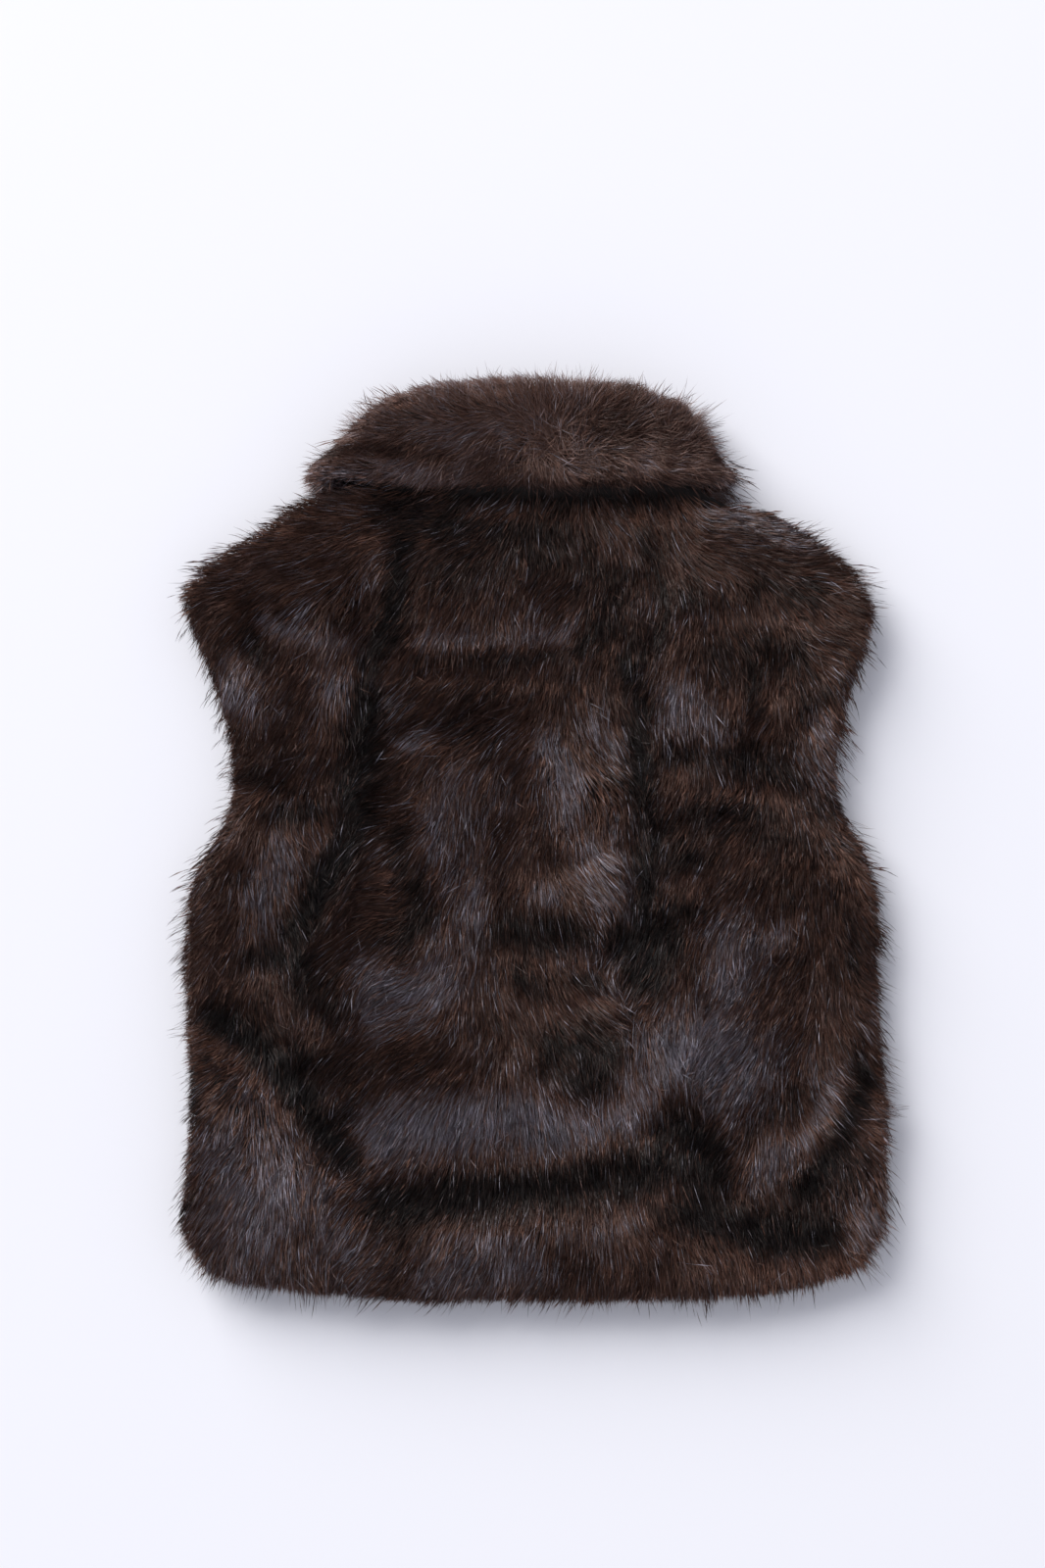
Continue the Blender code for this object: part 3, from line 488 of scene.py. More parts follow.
# Backing: the cloth that carries the pile, inside each CAD solid by the depth of its pile; its side is 1
# where the pile is above, -1 where it is below and 0 where it is all round
backings = {
    "back_backing": {"node": "back_panel", "side": 1, "depth": 9.0, "wall": 17.0},
    "front_left_backing": {"node": "front_left", "side": -1, "depth": 7.0, "wall": 16.0},
    "front_right_backing": {"node": "front_right", "side": -1, "depth": 7.0, "wall": 16.0},
    "collar_backing": {"node": "collar", "side": 0, "depth": 6.5, "more": 1.5, "most": 0.42},
}
# How far the backings stop short of the outline, over what width they are drawn in, and how high the
# collar's fall lies; how often and how much they are smoothed
rim = {"inset": 7.0, "reach": 36.0, "fallHeight": 34.0}
smoothing = {"times": 3, "factor": 0.4}
# Where the depth of the pile grows from nothing to full: by how squarely the wall looks to its outside, and
# by how free it is there, with the collar's apart
sinkFrom = {"facing": (0.1, 0.6), "free": (0.1, 0.7), "allRound": (0.1, 0.8)}


# One ray tree of all the solids
def solidTree():
    mesh = bmesh.new()
    for name in solids:
        mesh.from_mesh(bpy.data.objects[name].data)
    tree = BVHTree.FromBMesh(mesh)
    mesh.free()
    return tree


# Adds a mesh, a lamp or a camera to the scene
def addObject(name, data):
    added = bpy.data.objects.new(name, data)
    bpy.context.scene.collection.objects.link(added)
    return added


# A merged copy of a CAD node with its facets rounded
def roundedCopy(nodeName, name):
    mesh = bmesh.new()
    mesh.from_mesh(bpy.data.objects[nodeName].data)
    bmesh.ops.remove_doubles(mesh, verts=mesh.verts, dist=walls["merge"])
    data = bpy.data.meshes.new(name + "_flat")
    mesh.to_mesh(data)
    mesh.free()
    flat = addObject(name + "_flat", data)
    rounding = flat.modifiers.new("rounding", "SUBSURF")
    rounding.levels = rounding.render_levels = 1
    graph = bpy.context.evaluated_depsgraph_get()
    rounded = bpy.data.meshes.new_from_object(flat.evaluated_get(graph))
    rounded.name = name
    bpy.data.objects.remove(flat)
    bpy.data.meshes.remove(data)
    return rounded


# Draws points in from an outline, so that the pile has room to reach it
def drawIn(points, field):
    x, y = points[:, 0], points[:, 1]
    away = readGrid(field["away"], x, y)
    inset = rim["inset"] * np.clip(1 + away / rim["reach"], 0, 1) ** 2
    inset = np.where(away > 0, rim["inset"] + away, inset)
    points[:, 0] -= inset * readGrid(field["slopeX"], x, y)
    points[:, 1] -= inset * readGrid(field["slopeY"], x, y)
    return points


# How free each point is: rays towards its outside that meet no other wall
def openness(points, normals, tree):
    free = np.zeros(len(points))
    tilts = ((0, 0), (0.5, 0), (-0.5, 0), (0, 0.5), (0, -0.5))   # straight out, and four rays about it
    for i, (point, normal) in enumerate(zip(points, normals)):
        ahead = Vector(normal)
        aside = ahead.orthogonal().normalized()
        across = ahead.cross(aside)
        start = Vector(point) * millimetre + ahead * walls["off"]
        for a, b in tilts:
            hit = tree.ray_cast(start, (ahead + aside * a + across * b).normalized(), walls["room"])
            free[i] += hit[0] is None
    return free / len(tilts)


# Thickness of the wall at each point, in millimetres
def thickness(points, normals, tree):
    found = np.full(len(points), walls["deepest"] / millimetre)
    for i, (point, normal) in enumerate(zip(points, normals)):
        inward = -Vector(normal)
        hit = tree.ray_cast(Vector(point) * millimetre + inward * walls["inside"], inward, walls["deepest"])
        if hit[0] is not None:
            found[i] = hit[3] / millimetre
    return found


# A mesh's points in millimetres and its normals
def meshArrays(data):
    points = np.zeros(len(data.vertices) * 3)
    normals = np.zeros(len(data.vertices) * 3)
    data.vertices.foreach_get("co", points)
    data.vertices.foreach_get("normal", normals)
    return points.reshape(-1, 3) / millimetre, unit(normals.reshape(-1, 3))


# The backing of one solid: drawn in where its pile grows, and smoothed
def makeBacking(name, settings, tree):
    data = roundedCopy(settings["node"], name)
    points, normals = meshArrays(data)
    free = openness(points, normals, tree)
    deep = thickness(points, normals, tree)
    moved = points.copy()
    if settings["side"]:
        facing = smoothStep(settings["side"] * normals[:, 2], *sinkFrom["facing"])
        sink = settings["depth"] * facing * np.clip(deep / settings["wall"], 0, 1)
        sink = sink * smoothStep(free, *sinkFrom["free"])
        moved[:, 2] -= settings["side"] * sink
    else:
        sink = settings["depth"] * smoothStep(free, *sinkFrom["allRound"]) + settings["more"]
        sink = np.minimum(sink, settings["most"] * deep)
        moved -= normals * sink[:, None]
        onFall = moved[:, 2] > rim["fallHeight"]
        moved[onFall] = drawIn(moved[onFall], fallEdge)
    moved = drawIn(moved, furEdge)
    data.vertices.foreach_set("co", (moved * millimetre).ravel())
    data.update()
    mesh = bmesh.new()
    mesh.from_mesh(data)
    for _ in range(smoothing["times"]):
        bmesh.ops.smooth_vert(
            mesh, verts=mesh.verts, factor=smoothing["factor"],
            use_axis_x=True, use_axis_y=True, use_axis_z=True,
        )
    mesh.to_mesh(data)
    mesh.free()
    for face in data.polygons:
        face.use_smooth = True
    piece = addObject(name, data)
    places, lies = meshArrays(data)
    data.calc_loop_triangles()
    corners = np.zeros(len(data.loop_triangles) * 3, int)
    data.loop_triangles.foreach_get("vertices", corners)
    skin = {"object": piece, "points": places, "normals": lies, "corners": corners.reshape(-1, 3)}
    skin.update({"free": free, "side": settings["side"]})
    print(name, "made,", len(data.loop_triangles), "triangles")
    return skin


# Piles. Lengths and widths are in millimetres; rise is the angle of a hair at its root and at its tip;
# lock is the size of the tufts and pull how much they gather; ruffle and wander disturb the nap;
# tone runs from near black, used for painted shade, at 0 through brown at 0.5 to silver, used for painted
# sheen and glints, at 1
guardHair = {
    "skin": "back_backing", "strands": 65000, "points": 5, "length": (24, 31), "width": 0.33,
    "rise": (40, 2), "roll": 70, "lock": 6.5, "pull": (0.1, 0.6), "tone": 0.445, "glint": 1.0,
    "ruffle": 1.0, "wander": 5.0,
}
frontFur = {
    "strands": 21000, "points": 5, "length": (22, 29), "width": 0.8,
    "rise": (20, -2), "roll": 60, "lock": 8.0, "pull": (0.2, 0.7), "tone": 0.38, "glint": 0.5,
    "ruffle": 1.2, "least": 0.45,
}
piles = {
    "back_underfur": {
        "skin": "back_backing", "strands": 96000, "points": 4, "length": (14, 19), "width": 0.72,
        "rise": (42, 8), "roll": 55, "lock": 8.0, "pull": (0.1, 0.5), "tone": 0.48, "glint": 0.1,
        "ruffle": 1.0, "wander": 5.0, "seed": 11,
    },
    "back_guard_hair_upper": {**guardHair, "seed": 12, "above": -60},
    "back_guard_hair_lower": {**guardHair, "seed": 13, "below": -60},
    "collar_fur": {
        "skin": "collar_backing", "strands": 65000, "points": 5, "length": (22, 29), "width": 0.44,
        "rise": (36, 4), "roll": 65, "lock": 6.5, "pull": (0.2, 0.7), "tone": 0.63, "glint": 0.3,
        "ruffle": 1.7, "wander": 22.0, "seed": 14,
    },
    "front_left_fur": {**frontFur, "skin": "front_left_backing", "seed": 15},
    "front_right_fur": {**frontFur, "skin": "front_right_backing", "seed": 16},
}
# How thick the pile stands: less where the cloth is covered, none on the side that is turned away
cover = {"power": 1.5, "turned": (-0.5, 0.0), "allRound": (0.1, 0.9)}
# How far single hairs may stand past the CAD box: left, right, below the hem, over the collar, up
wispRoom = {"left": 10.0, "right": 14.5, "hem": 15.0, "collar": 14.0, "up": 6.0}
# Mean reach of the loose ends past the outline on each side, and more of it over the back; how uneven it is
# between hairs and between tufts; how much the rest of a hair falls round the rim; how far under the
# collar's fall a root counts as its own; in how many tries, and to what share, a hair is drawn in
wispReach = {
    "least": -1.2, "left": 1.2, "right": 1.5, "hem": 0.7, "collar": 1.8, "overBack": 2.2,
    "uneven": 1.8, "tufts": ((11, 12, 1.3),), "tuftRange": (0.3, 2.2), "fall": 0.6, "fallPower": 1.6,
    "belowFall": 6, "tries": 4, "shortest": 0.12,
}
floorClearance = 0.4


# Where the hairs of a pile are rooted on its backing, and what the backing is like there
def rootsOn(skin, pile, dice):
    corners = skin["corners"]
    first, second, third = (skin["points"][corners[:, i]] for i in range(3))
    area = np.linalg.norm(np.cross(second - first, third - first), axis=1) / 2
    thick = np.clip(skin["free"], 0, 1) ** cover["power"]
    if skin["side"]:
        thick = np.maximum(thick, pile.get("least", 0.0))
        thick = thick * smoothStep(skin["side"] * skin["normals"][:, 2], *cover["turned"])
    else:
        thick = cover["allRound"][0] + cover["allRound"][1] * thick
    middle = (first + second + third) / 3
    weight = area * thick[corners].mean(axis=1)
    if "above" in pile:
        weight = weight * (middle[:, 1] > pile["above"])
    if "below" in pile:
        weight = weight * (middle[:, 1] <= pile["below"])
    chosen = dice.choice(len(corners), pile["strands"], p=weight / weight.sum())
    u, v = dice.random(pile["strands"]), dice.random(pile["strands"])
    u, v = np.where(u + v > 1, 1 - u, u)[:, None], np.where(u + v > 1, 1 - v, v)[:, None]
    shares = np.hstack([1 - u - v, u, v])[:, :, None]
    picked = corners[chosen]
    roots = {"place": (skin["points"][picked] * shares).sum(axis=1)}
    roots["normal"] = unit((skin["normals"][picked] * shares).sum(axis=1))
    x, y = roots["place"][:, 0], roots["place"][:, 1]
    roots["edge"] = -readGrid(furEdge["away"], x, y)
    slopes = [readGrid(furEdge["slopeX"], x, y), readGrid(furEdge["slopeY"], x, y)]
    roots["outward"] = np.stack(slopes, axis=1)
    roots["free"] = (skin["free"][picked] * shares[:, :, 0]).sum(axis=1)
    return roots


# How the nap lies: how far a lock and a hair read it aside; how the fronts' pile spreads; the collar's
# underside, which fans out from the neck; swings in degrees, their layers with cell, seed and weight
lay = {
    "lockAside": 0.6, "hairAside": 0.3, "frontSpread": (0.12, 0.001),
    "under": (0.1, 0.6), "underHeight": 24, "neckY": 262,
    "swing": ((58, 3, 12), (24, 4, 14), (9, 5, 5)), "lockSwing": 5, "hairSwing": 3.5,
    "unevenSwing": (3.0, 5.0), "strayShare": 0.04, "straySwing": 28, "edgePull": 0.5, "edgeWidth": 20,
}


# Direction that the nap runs at each root, before it is laid on the surface
def napAt(roots, skin, pile, shared, dice):
    place = roots["place"]
    x, y = place[:, 0], place[:, 1]
    if skin["side"] >= 0:
        aside = lay["lockAside"] * shared[:, :2] + dice.normal(0, lay["hairAside"], (len(x), 2))
        aside = pile["wander"] * aside
        asideX, asideY = x + aside[:, 0], y + aside[:, 1]
        flow = np.stack([readGrid(napAcross, asideX, asideY), readGrid(napAlong, asideX, asideY)], axis=1)
    else:
        steady, growing = lay["frontSpread"]
        flow = np.stack([steady * np.sign(x) + x * growing, -np.ones(len(x))], axis=1)
    if skin["side"] == 0:
        under = smoothStep(-roots["normal"][:, 2], *lay["under"])[:, None]
        under = under * (place[:, 2:] < lay["underHeight"])
        fan = unit(np.stack([x, y - lay["neckY"]], axis=1))
        flow = flow * (1 - under) + fan * under
    swing = withNoise(0, place, lay["swing"])
    swing = swing + lay["lockSwing"] * pile["ruffle"] * shared[:, 0]
    swing = swing + dice.normal(0, lay["hairSwing"], len(x))
    if skin["side"] >= 0:
        uneven = np.clip(1 - readGrid(napEvenness, x, y), 0, 1)
        slight, strong = lay["unevenSwing"]
        swing = swing * (1 + slight * uneven + strong * uneven**4) * pile["ruffle"]
    stray = dice.random(len(x)) < lay["strayShare"]
    swing = swing + stray * dice.normal(0, lay["straySwing"], len(x))
    c, s = np.cos(np.radians(swing)), np.sin(np.radians(swing))
    flow = unit(flow)
    flow = np.stack([flow[:, 0] * c - flow[:, 1] * s, flow[:, 0] * s + flow[:, 1] * c], axis=1)
    if skin["side"]:
        nearEdge = 1 - smoothStep(roots["edge"], 0, lay["edgeWidth"])
        pull = lay["edgePull"] * nearEdge[:, None] * roots["free"][:, None]
        flow = unit(flow * (1 - pull) + roots["outward"] * pull)
    return flow, stray


# How the tone varies: layers of noise with cell, seed and weight; faint painted sheen where no patch is; the
# share of each kind of patch; differences between locks and hairs; how often hairs get a painted glint, and
# how bright it is
toneMix = {
    "noise": ((34, 6, 0.06), (12, 7, 0.07)), "sheen": (27, 10), "sheenRange": (0.1, 0.7), "sheenShare": 0.2,
    "warmAndHighlight": 0.85, "paintedSheen": 0.33, "paintedShade": 0.9, "locks": 0.055, "hairs": 0.085,
    "glint": (0.05, 0.75), "glintLeast": 0.2, "glintSoft": 0.04, "glintTone": (0.8, 1.0),
}


# Tone at every joint of the hairs, from what the pile looks like at that place, with painted shade, painted
# sheen, painted highlight and painted glints laid into it
def toneAt(line, skin, pile, shared, dice):
    count, joints = line.shape[:2]
    place = line.reshape(-1, 3)
    x, y = place[:, 0], place[:, 1]
    tone = withNoise(pile["tone"], place, toneMix["noise"])
    # Faint painted sheen where no patch is
    paintedSheen = toneMix["sheenShare"] * smoothStep(softNoise(place, *toneMix["sheen"]), *toneMix["sheenRange"])
    if skin["side"] >= 0:
        # Warm under-layer with its painted highlight, painted sheen and painted shade, each by its share
        warmAndHighlight, paintedShade = readGrid(patchShares["warmAndHighlight"], x, y), readGrid(patchShares["paintedShade"], x, y)
        tone = tone * (1 - toneMix["warmAndHighlight"] * warmAndHighlight) + patchTones["warmAndHighlight"] * toneMix["warmAndHighlight"] * warmAndHighlight
        paintedSheen = np.maximum(paintedSheen * (1 - warmAndHighlight), readGrid(patchShares["paintedSheen"], x, y))
        tone = (tone + toneMix["paintedSheen"] * paintedSheen) * (1 - toneMix["paintedShade"] * paintedShade)
        tone = tone + patchTones["paintedShade"] * toneMix["paintedShade"] * paintedShade
        paintedSheen = paintedSheen * (1 - paintedShade)
    tone, paintedSheen = tone.reshape(count, joints), paintedSheen.reshape(count, joints)
    tone = tone + toneMix["locks"] * shared[:, 1:2] + dice.normal(0, toneMix["hairs"], (count, 1))
    # Painted glints: a share of hairs turned pale silver, more of them where painted sheen lies
    anywhere, onSilver = toneMix["glint"]
    chance = pile["glint"] * (anywhere + onSilver * paintedSheen) * np.clip(tone * 4, toneMix["glintLeast"], 1)
    glint = smoothStep(chance - dice.random((count, 1)), -toneMix["glintSoft"], toneMix["glintSoft"])
    tone = tone * (1 - glint) + dice.uniform(*toneMix["glintTone"], (count, 1)) * glint
    return np.clip(tone, 0.01, 0.99)


# Form of the hairs: lengths as shares of the pile's, angles in degrees; rim is how near the outline, in
# millimetres, a hair counts as one of the rim, where the right side's are longer and a few stand out;
# noises have their cell, seed and weight
hairForm = {
    "lockLength": 0.08, "rim": (2, 16), "rimLean": 0.12, "fewLong": 0.12, "longBy": 1.35,
    "covered": (0.45, 0.55), "coveredFree": (0.0, 0.5), "paintedShadeShorter": 0.25,
    "rootSpread": 7, "tipSpread": 5, "warmAndHighlightUp": (9, 7), "paintedShadeDown": 18, "strayUp": 9,
    "rootNoise": ((16, 8, 6),), "curlNoise": ((16, 9, 14),), "curlSpread": 6,
    "risePower": 0.8, "curlFrom": 0.2, "onEdge": 0.9, "rimDroop": 0.3, "pullPower": 1.5, "strayFree": 0.8,
}


# One pile: each hair is a line of joints that leans from its root into the nap and gathers in its lock
def growPile(name, pile, skins):
    skin = skins[pile["skin"]]
    dice = np.random.default_rng(pile["seed"])
    roots = rootsOn(skin, pile, dice)
    place, normal = roots["place"], roots["normal"]
    count, joints = len(place), pile["points"]
    middles, shared = locksOf(place, pile["lock"], pile["seed"] + 100)
    flow, stray = napAt(roots, skin, pile, shared, dice)
    # Shares of painted shade and of the warm under-layer with its painted highlight at each root; the painted
    # shade shortens and lowers the hairs, the warm share raises them
    warmAndHighlight, paintedShade = np.zeros(count), np.zeros(count)
    if skin["side"] >= 0:
        warmAndHighlight = readGrid(patchShares["warmAndHighlight"], place[:, 0], place[:, 1])
        paintedShade = readGrid(patchShares["paintedShade"], place[:, 0], place[:, 1])
    rimShare = (1 - smoothStep(roots["edge"], *hairForm["rim"])) * roots["free"]

    length = dice.uniform(*pile["length"], count) * (1 + hairForm["lockLength"] * shared[:, 2])
    length = length * (1 + hairForm["rimLean"] * rimShare * np.sign(place[:, 0]))
    standsOut = dice.random(count) < hairForm["fewLong"] * rimShare
    length = np.where(standsOut, length * hairForm["longBy"], length)
    least, more = hairForm["covered"]
    length = length * (least + more * smoothStep(roots["free"], *hairForm["coveredFree"]))
    length = length * (1 - hairForm["paintedShadeShorter"] * paintedShade)
    start = pile["rise"][0] + dice.normal(0, hairForm["rootSpread"], count)
    start = start + hairForm["warmAndHighlightUp"][0] * warmAndHighlight - hairForm["paintedShadeDown"] * paintedShade
    start = withNoise(start, place, hairForm["rootNoise"])
    end = pile["rise"][1] + dice.normal(0, hairForm["tipSpread"], count)
    end = end + hairForm["strayUp"] * stray + hairForm["warmAndHighlightUp"][1] * warmAndHighlight
    curl = withNoise(0, place, hairForm["curlNoise"]) + dice.normal(0, hairForm["curlSpread"], count)

    flat = np.concatenate([flow, np.zeros((count, 1))], axis=1)
    lying = flat - (flat * normal).sum(axis=1, keepdims=True) * normal
    onEdge = 1 - np.linalg.norm(lying, axis=1, keepdims=True)
    aside = np.cross(normal, unit(lying))
    shares = np.linspace(0, 1, joints)
    line = np.zeros((count, joints, 3))
    line[:, 0] = place
    for joint in range(1, joints):
        middle = (shares[joint] + shares[joint - 1]) / 2
        rise = np.radians(start + (end - start) * middle ** hairForm["risePower"])[:, None]
        turn = np.radians(curl * (middle - hairForm["curlFrom"]))[:, None]
        ahead = lying * np.cos(turn) + aside * np.linalg.norm(lying, axis=1, keepdims=True) * np.sin(turn)
        ahead = ahead * np.cos(rise) + normal * (np.sin(rise) + hairForm["onEdge"] * onEdge)
        ahead[:, 2] -= hairForm["rimDroop"] * middle * rimShare
        step = length[:, None] * (shares[joint] - shares[joint - 1])
        line[:, joint] = line[:, joint - 1] + unit(ahead) * step

    gather = middles - place
    gather -= (gather * normal).sum(axis=1, keepdims=True) * normal
    low, high = pile["pull"]
    pull = low + (high - low) * (shared[:, 2] * 0.5 + 0.5)
    pull = pull * (1 - hairForm["strayFree"] * stray)
    line += gather[:, None, :] * (pull[:, None] * shares[None, :] ** hairForm["pullPower"])[:, :, None]
    line = roundRim(line, dice)
    line[:, 1:, 2] = np.maximum(line[:, 1:, 2], floorClearance)
    line = withinRoom(line)
    tone = toneAt(line, skin, pile, shared, dice)
    return joinedStrands(name, line, normal, tone, pile, dice)


# Hairs that would pass the outline turn down round the rim, but for loose ends of uneven reach
def roundRim(line, dice):
    high = line[:, 0, 2] > rim["fallHeight"] - wispReach["belowFall"]
    onFall = high & (readGrid(fallEdge["away"], *line[:, 0, :2].T) < 1)
    edges = ((furEdge, np.ones(len(line), bool), 0.0), (fallEdge, onFall, wispReach["overBack"]))
    for field, chosen, more in edges:
        root = line[chosen, 0, :2]
        ahead, up = readGrid(field["slopeX"], *root.T), readGrid(field["slopeY"], *root.T)
        mean = np.where(ahead > 0, ahead * wispReach["right"], -ahead * wispReach["left"])
        mean = mean + np.where(up > 0, up * wispReach["collar"], -up * (wispReach["hem"] + more))
        tuft = np.clip(withNoise(1, line[chosen, 0], wispReach["tufts"]), *wispReach["tuftRange"])
        reach = wispReach["least"] + mean * tuft * dice.exponential(1.0, len(root)) ** wispReach["uneven"]
        start = readGrid(field["away"], *root.T)
        span = line[chosen, :, :2] - root[:, None]
        share = np.ones(len(root))
        for _ in range(wispReach["tries"]):
            tip = root + span[:, -1] * share[:, None]
            away = readGrid(field["away"], *tip.T)
            part = np.clip((reach - start) / np.maximum(away - start, 0.01), 0.05, 1)
            share = np.where(away > reach, np.maximum(share * part, wispReach["shortest"]), share)
        line[chosen, :, :2] = root[:, None] + span * share[:, None, None]
        profile = np.linspace(0, 1, line.shape[1]) ** wispReach["fallPower"]
        length = np.linalg.norm(span[:, -1], axis=1)
        line[chosen, :, 2] -= wispReach["fall"] * ((1 - share) * length)[:, None] * profile
    return line


# Draws a hair in towards its root where it would leave the room for wisps
def withinRoom(line):
    low, high = np.array(cadLow) / millimetre, np.array(cadHigh) / millimetre
    low = low - [wispRoom["left"], wispRoom["hem"], 0]
    high = high + [wispRoom["right"], wispRoom["collar"], wispRoom["up"]]
    root = line[:, :1]
    reach = line - root
    room = np.where(reach > 0, high - root, root - low)
    share = np.where(np.abs(reach) > 1e-6, room / np.maximum(np.abs(reach), 1e-6), 9)
    return root + reach * np.clip(share.min(axis=(1, 2)), 0, 1)[:, None, None]


# Form of a hair's strip: its twist in degrees, its taper as shares along it and of its width, how widths
# vary; on the UV map, how far its two sides lie apart in tone, where it starts, and the room it uses
strip = {
    "twist": 22, "taperAt": (0, 0.3, 0.7, 1), "taper": (0.8, 1.0, 0.75, 0.0), "widths": (0.75, 1.2),
    "toneAside": 0.004, "starts": (0.0, 0.25), "room": (0.01, 0.98),
}


# Every hair is a narrow strip of triangles that tapers to its tip; all hairs of a pile are one mesh
def joinedStrands(name, line, normal, tone, pile, dice):
    count, joints = line.shape[:2]
    along = unit(np.gradient(line, axis=1))
    across = unit(np.cross(along, normal[:, None, :]))
    face = np.cross(across, along)
    roll = np.radians(dice.uniform(-pile["roll"], pile["roll"], count))[:, None]
    roll = roll + np.radians(dice.normal(0, strip["twist"], count))[:, None] * np.linspace(-1, 1, joints)
    side = across * np.cos(roll)[:, :, None] + face * np.sin(roll)[:, :, None]
    taper = np.interp(np.linspace(0, 1, joints), strip["taperAt"], strip["taper"])
    signs = np.where(np.arange(joints) % 2 == 0, -1.0, 1.0)
    width = pile["width"] * dice.uniform(*strip["widths"], count)
    offset = side * (width[:, None] * taper * signs / 2)[:, :, None]
    points = ((line + offset) * millimetre).reshape(-1, 3)
    pattern = ((0, 1, 2), (2, 1, 3), (2, 3, 4))[: joints - 2]
    corners = (np.arange(count)[:, None, None] * joints + np.array(pattern)).reshape(-1, 3)

    data = bpy.data.meshes.new(name)
    data.vertices.add(len(points))
    data.vertices.foreach_set("co", points.ravel())
    data.loops.add(corners.size)
    data.loops.foreach_set("vertex_index", corners.ravel())
    data.polygons.add(len(corners))
    data.polygons.foreach_set("loop_start", np.arange(0, corners.size, 3))
    data.polygons.foreach_set("use_smooth", np.ones(len(corners), bool))
    data.update(calc_edges=True)
    where = np.zeros((count, joints, 2))
    where[:, :, 0] = tone + signs * strip["toneAside"]
    start = dice.uniform(*strip["starts"], count)[:, None]
    low, span = strip["room"]
    where[:, :, 1] = low + span * (start + (1 - start) * np.linspace(0, 1, joints))
    layer = data.uv_layers.new(name="OFBake")
    layer.uv.foreach_set("vector", where.reshape(-1, 2)[corners.ravel()].ravel())
    data.validate()
    piece = addObject(name, data)
    print(name, "grown,", count, "hairs,", len(corners), "triangles")
    return piece


# A material with an empty node tree
def emptyMaterial(name):
    material = bpy.data.materials.new(name)
    material.use_nodes = True
    material.node_tree.nodes.clear()
    return material


# Faux mink: knitted polyester backing with a solution-dyed modacrylic pile, sheared, tip-printed darker and
# polished. The eye sees warm brown roots and near-black tips; the cool silver gleam along single hairs is
# painted highlight in the colour, and the tone also carries painted shade and sheen.
def modacrylicPile(name, looks):
    material = emptyMaterial(name)
    tree = material.node_tree
    place = addNode(tree, "ShaderNodeUVMap", {"uv_map": "OFBake"})
    parts = addNode(tree, "ShaderNodeSeparateXYZ", None, {"Vector": place.outputs["UV"]})
    roots = addNode(tree, "ShaderNodeValToRGB", None, {"Fac": parts.outputs["X"]})
    tips = addNode(tree, "ShaderNodeValToRGB", None, {"Fac": parts.outputs["X"]})
    setRamp(roots, looks["roots"])
    setRamp(tips, looks["tips"])
    fade = addNode(
        tree, "ShaderNodeMapRange", {"From Min": looks["fade"][0], "From Max": looks["fade"][1]},
        {"Value": parts.outputs["Y"]},
    )
    colour = addNode(tree, "ShaderNodeMix", {"data_type": "RGBA"})   # its colours are sockets 6, 7 and 2
    tree.links.new(fade.outputs["Result"], colour.inputs[0])
    tree.links.new(roots.outputs["Color"], colour.inputs[6])
    tree.links.new(tips.outputs["Color"], colour.inputs[7])
    surface = addNode(
        tree, "ShaderNodeBsdfPrincipled",
        {"Roughness": looks["roughness"], "IOR": 1.5, "Specular IOR Level": looks["gloss"]},
        {"Base Color": colour.outputs[2]},
    )
    addNode(tree, "ShaderNodeOutputMaterial", None, {"Surface": surface.outputs["BSDF"]})
    return material


shade = {"grain": 260.0, "detail": 3.0, "roughness": 0.95, "colours": ((0.3, "0b0807"), (0.7, "1c1311"))}


# Dense underwool on the knitted backing, in the shade of the pile: almost black brown, without gloss
def shadedBacking(name):
    material = emptyMaterial(name)
    tree = material.node_tree
    place = addNode(tree, "ShaderNodeTexCoord")
    grain = addNode(
        tree, "ShaderNodeTexNoise", {"Scale": shade["grain"], "Detail": shade["detail"]},
        {"Vector": place.outputs["Object"]},
    )   # tufts of about 4 mm
    colour = addNode(tree, "ShaderNodeValToRGB", None, {"Fac": grain.outputs["Fac"]})
    setRamp(colour, shade["colours"])
    surface = addNode(
        tree, "ShaderNodeBsdfPrincipled", {"Roughness": shade["roughness"]},
        {"Base Color": colour.outputs["Color"]},
    )
    addNode(tree, "ShaderNodeOutputMaterial", None, {"Surface": surface.outputs["BSDF"]})
    return material


# Colours by tone at the root and at the tip, the near-black end for painted shade and the silver end for
# painted sheen and glints; fade is where along a hair the one goes over into the other
pileLooks = {
    "guard": {
        "roots": (
            (0.0, "0a0809"), (0.25, "2d1c17"), (0.5, "654539"), (0.68, "826154"), (0.85, "8e868b"),
            (1.0, "b4b0bd"),
        ),
        "tips": (
            (0.0, "060608"), (0.25, "150e0e"), (0.5, "3c2722"), (0.68, "604943"), (0.85, "7e7881"),
            (1.0, "a8a6b6"),
        ),
        "fade": (0.45, 0.95), "roughness": 0.42, "gloss": 0.3,
    },
    "underfur": {
        "roots": ((0.0, "080708"), (0.25, "221510"), (0.5, "573a2f"), (0.75, "705144"), (1.0, "7f7177")),
        "tips": ((0.0, "080708"), (0.25, "201512"), (0.5, "5c3d32"), (0.75, "74584c"), (1.0, "8a7e87")),
        "fade": (0.4, 0.95), "roughness": 0.55, "gloss": 0.2,
    },
}
pieceLooks = {
    "back_underfur": "underfur", "back_guard_hair_upper": "guard", "back_guard_hair_lower": "guard",
    "collar_fur": "guard", "front_left_fur": "guard", "front_right_fur": "guard",
}

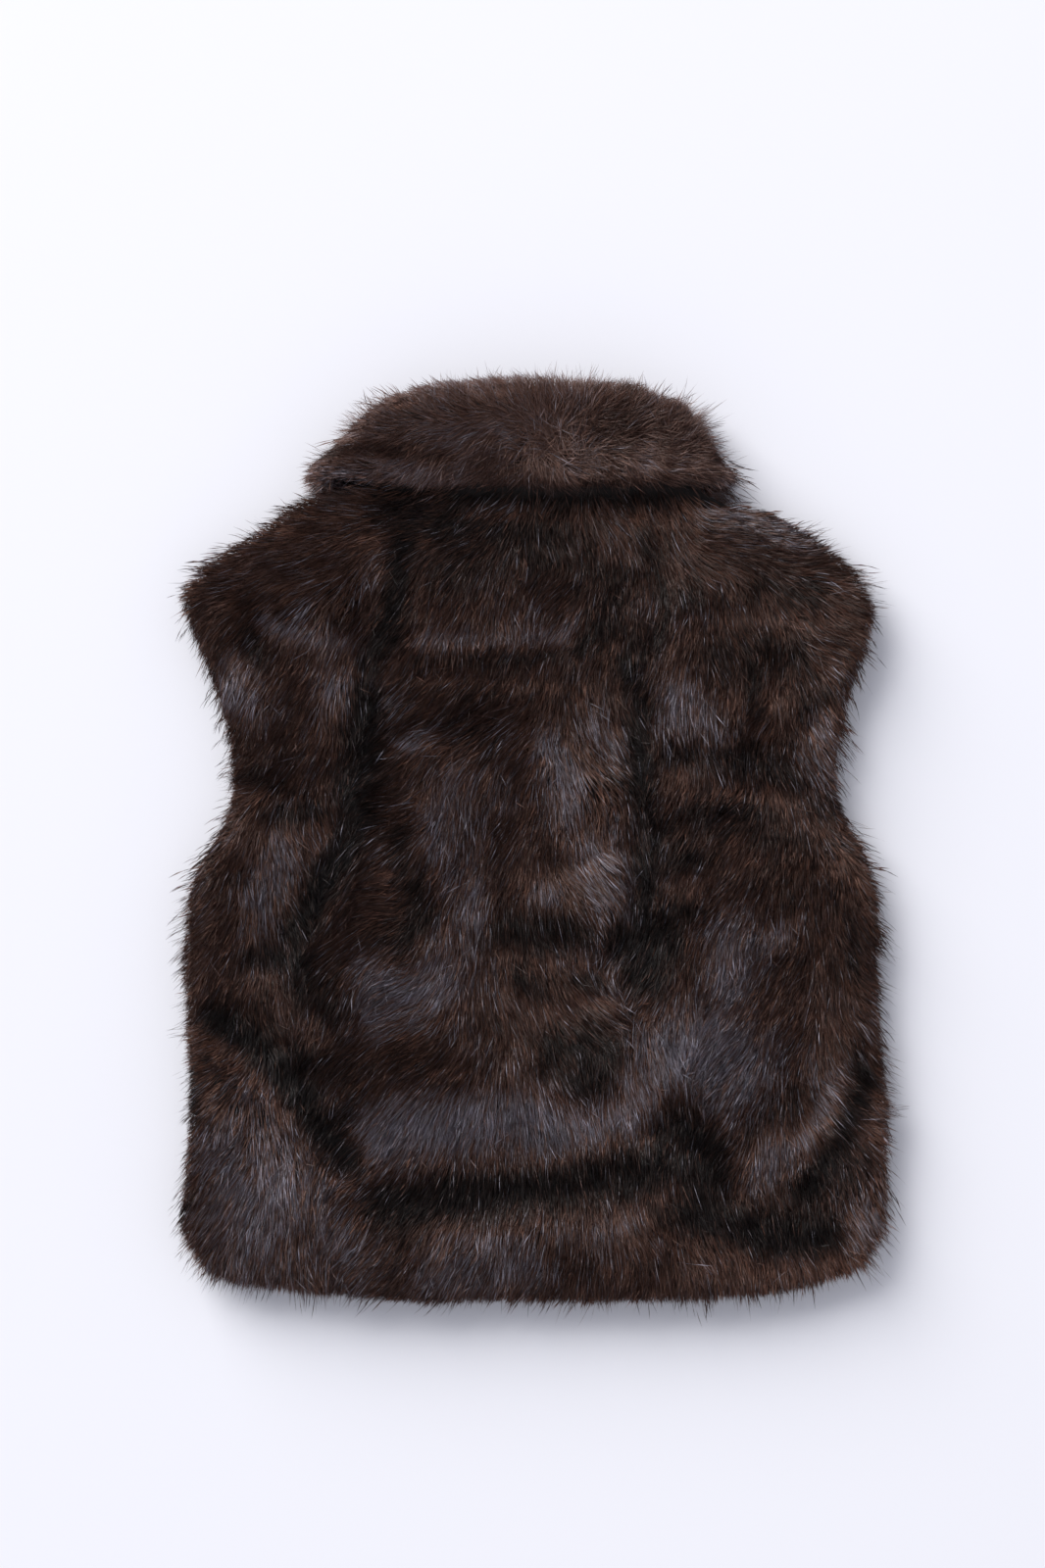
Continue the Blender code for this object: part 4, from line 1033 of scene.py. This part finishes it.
# Sheets: the cut of what shows, width and length in metres, its area, and the sheets that it rests on
sheets = {
    "back_backing": {
        "flat": (0.50, 0.605), "area": 0.274, "slot": "back_fur",
        "on": ["front_left_backing", "front_right_backing"],
    },
    "front_left_backing": {"flat": (0.25, 0.605), "area": 0.130, "slot": "front_fur", "on": []},
    "front_right_backing": {"flat": (0.25, 0.605), "area": 0.130, "slot": "front_fur", "on": []},
    "collar_backing": {"flat": (0.58, 0.11), "area": 0.061, "slot": "collar_fur", "on": ["back_backing"]},
}


# Makes the backings and the piles on them, hangs each piece under the root body and hides the solid it stands
# for
def dress():
    tree = solidTree()
    skins = {}
    backing = shadedBacking("knittedBackingInShade")
    for name, settings in backings.items():
        skins[name] = makeBacking(name, settings, tree)
        skins[name]["object"].data.materials.append(backing)
    looks = {name: modacrylicPile(name + "ModacrylicPile", values) for name, values in pileLooks.items()}
    grown = {}
    for name, pile in piles.items():
        piece = growPile(name, pile, skins)
        piece.data.materials.append(looks[pieceLooks[name]])
        grown.setdefault(pile["skin"], []).append(piece)
    for name, sheet in sheets.items():
        piece = skins[name]["object"]
        for part in [piece, *grown[name]]:
            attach(part, "root")
        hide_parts(backings[name]["node"])


# Studio: pale sweep, one big soft light from the upper left, even fill, camera straight above
studio = {
    "floorHalf": 3.0, "floorColour": "e7e8ee", "floorRoughness": 0.9, "floorGloss": 0.1,
    "lightPlace": (-8.8, 11.4, 8.6), "lightSize": 13.0, "lightPower": 4190.0, "lightColour": "fffdfb",
    "fillColour": "f1f2fc", "fillStrength": 0.585,
    "cameraPlace": (-0.0089, 0.0423, 2.2), "lens": 69.75, "sensor": 36.0, "clip": (0.1, 20),
}


def setStudio():
    scene = bpy.context.scene
    mesh = bmesh.new()
    bmesh.ops.create_grid(mesh, x_segments=1, y_segments=1, size=studio["floorHalf"])
    data = bpy.data.meshes.new("floor")
    mesh.to_mesh(data)
    mesh.free()
    floor = addObject("floor", data)
    paint = bpy.data.materials.new("matteWhiteBoard")
    paint.use_nodes = True
    shader = paint.node_tree.nodes["Principled BSDF"]
    shader.inputs["Base Color"].default_value = linear(studio["floorColour"])
    shader.inputs["Roughness"].default_value = studio["floorRoughness"]
    shader.inputs["Specular IOR Level"].default_value = studio["floorGloss"]
    data.materials.append(paint)

    lamp = bpy.data.lights.new("softbox", "AREA")
    lamp.shape = "SQUARE"
    lamp.size = studio["lightSize"]
    lamp.energy = studio["lightPower"]
    lamp.color = linear(studio["lightColour"])[:3]
    softbox = addObject("softbox", lamp)
    softbox.location = studio["lightPlace"]
    towards = Vector((0, 0, 0)) - Vector(studio["lightPlace"])
    softbox.rotation_euler = towards.to_track_quat("-Z", "Y").to_euler()

    world = bpy.data.worlds.new("fill")
    world.use_nodes = True
    sky = world.node_tree.nodes["Background"]
    sky.inputs["Color"].default_value = linear(studio["fillColour"])
    sky.inputs["Strength"].default_value = studio["fillStrength"]
    scene.world = world

    lens = bpy.data.cameras.new("camera")
    lens.sensor_fit = "VERTICAL"
    lens.sensor_height = studio["sensor"]
    lens.sensor_width = studio["sensor"]
    lens.lens = studio["lens"]
    lens.clip_start, lens.clip_end = studio["clip"]
    camera = addObject("camera", lens)
    camera.location = studio["cameraPlace"]
    camera.rotation_euler = (0, 0, 0)
    scene.camera = camera
    scene.view_settings.view_transform = "Standard"
    print("studio set")


dress()
setStudio()
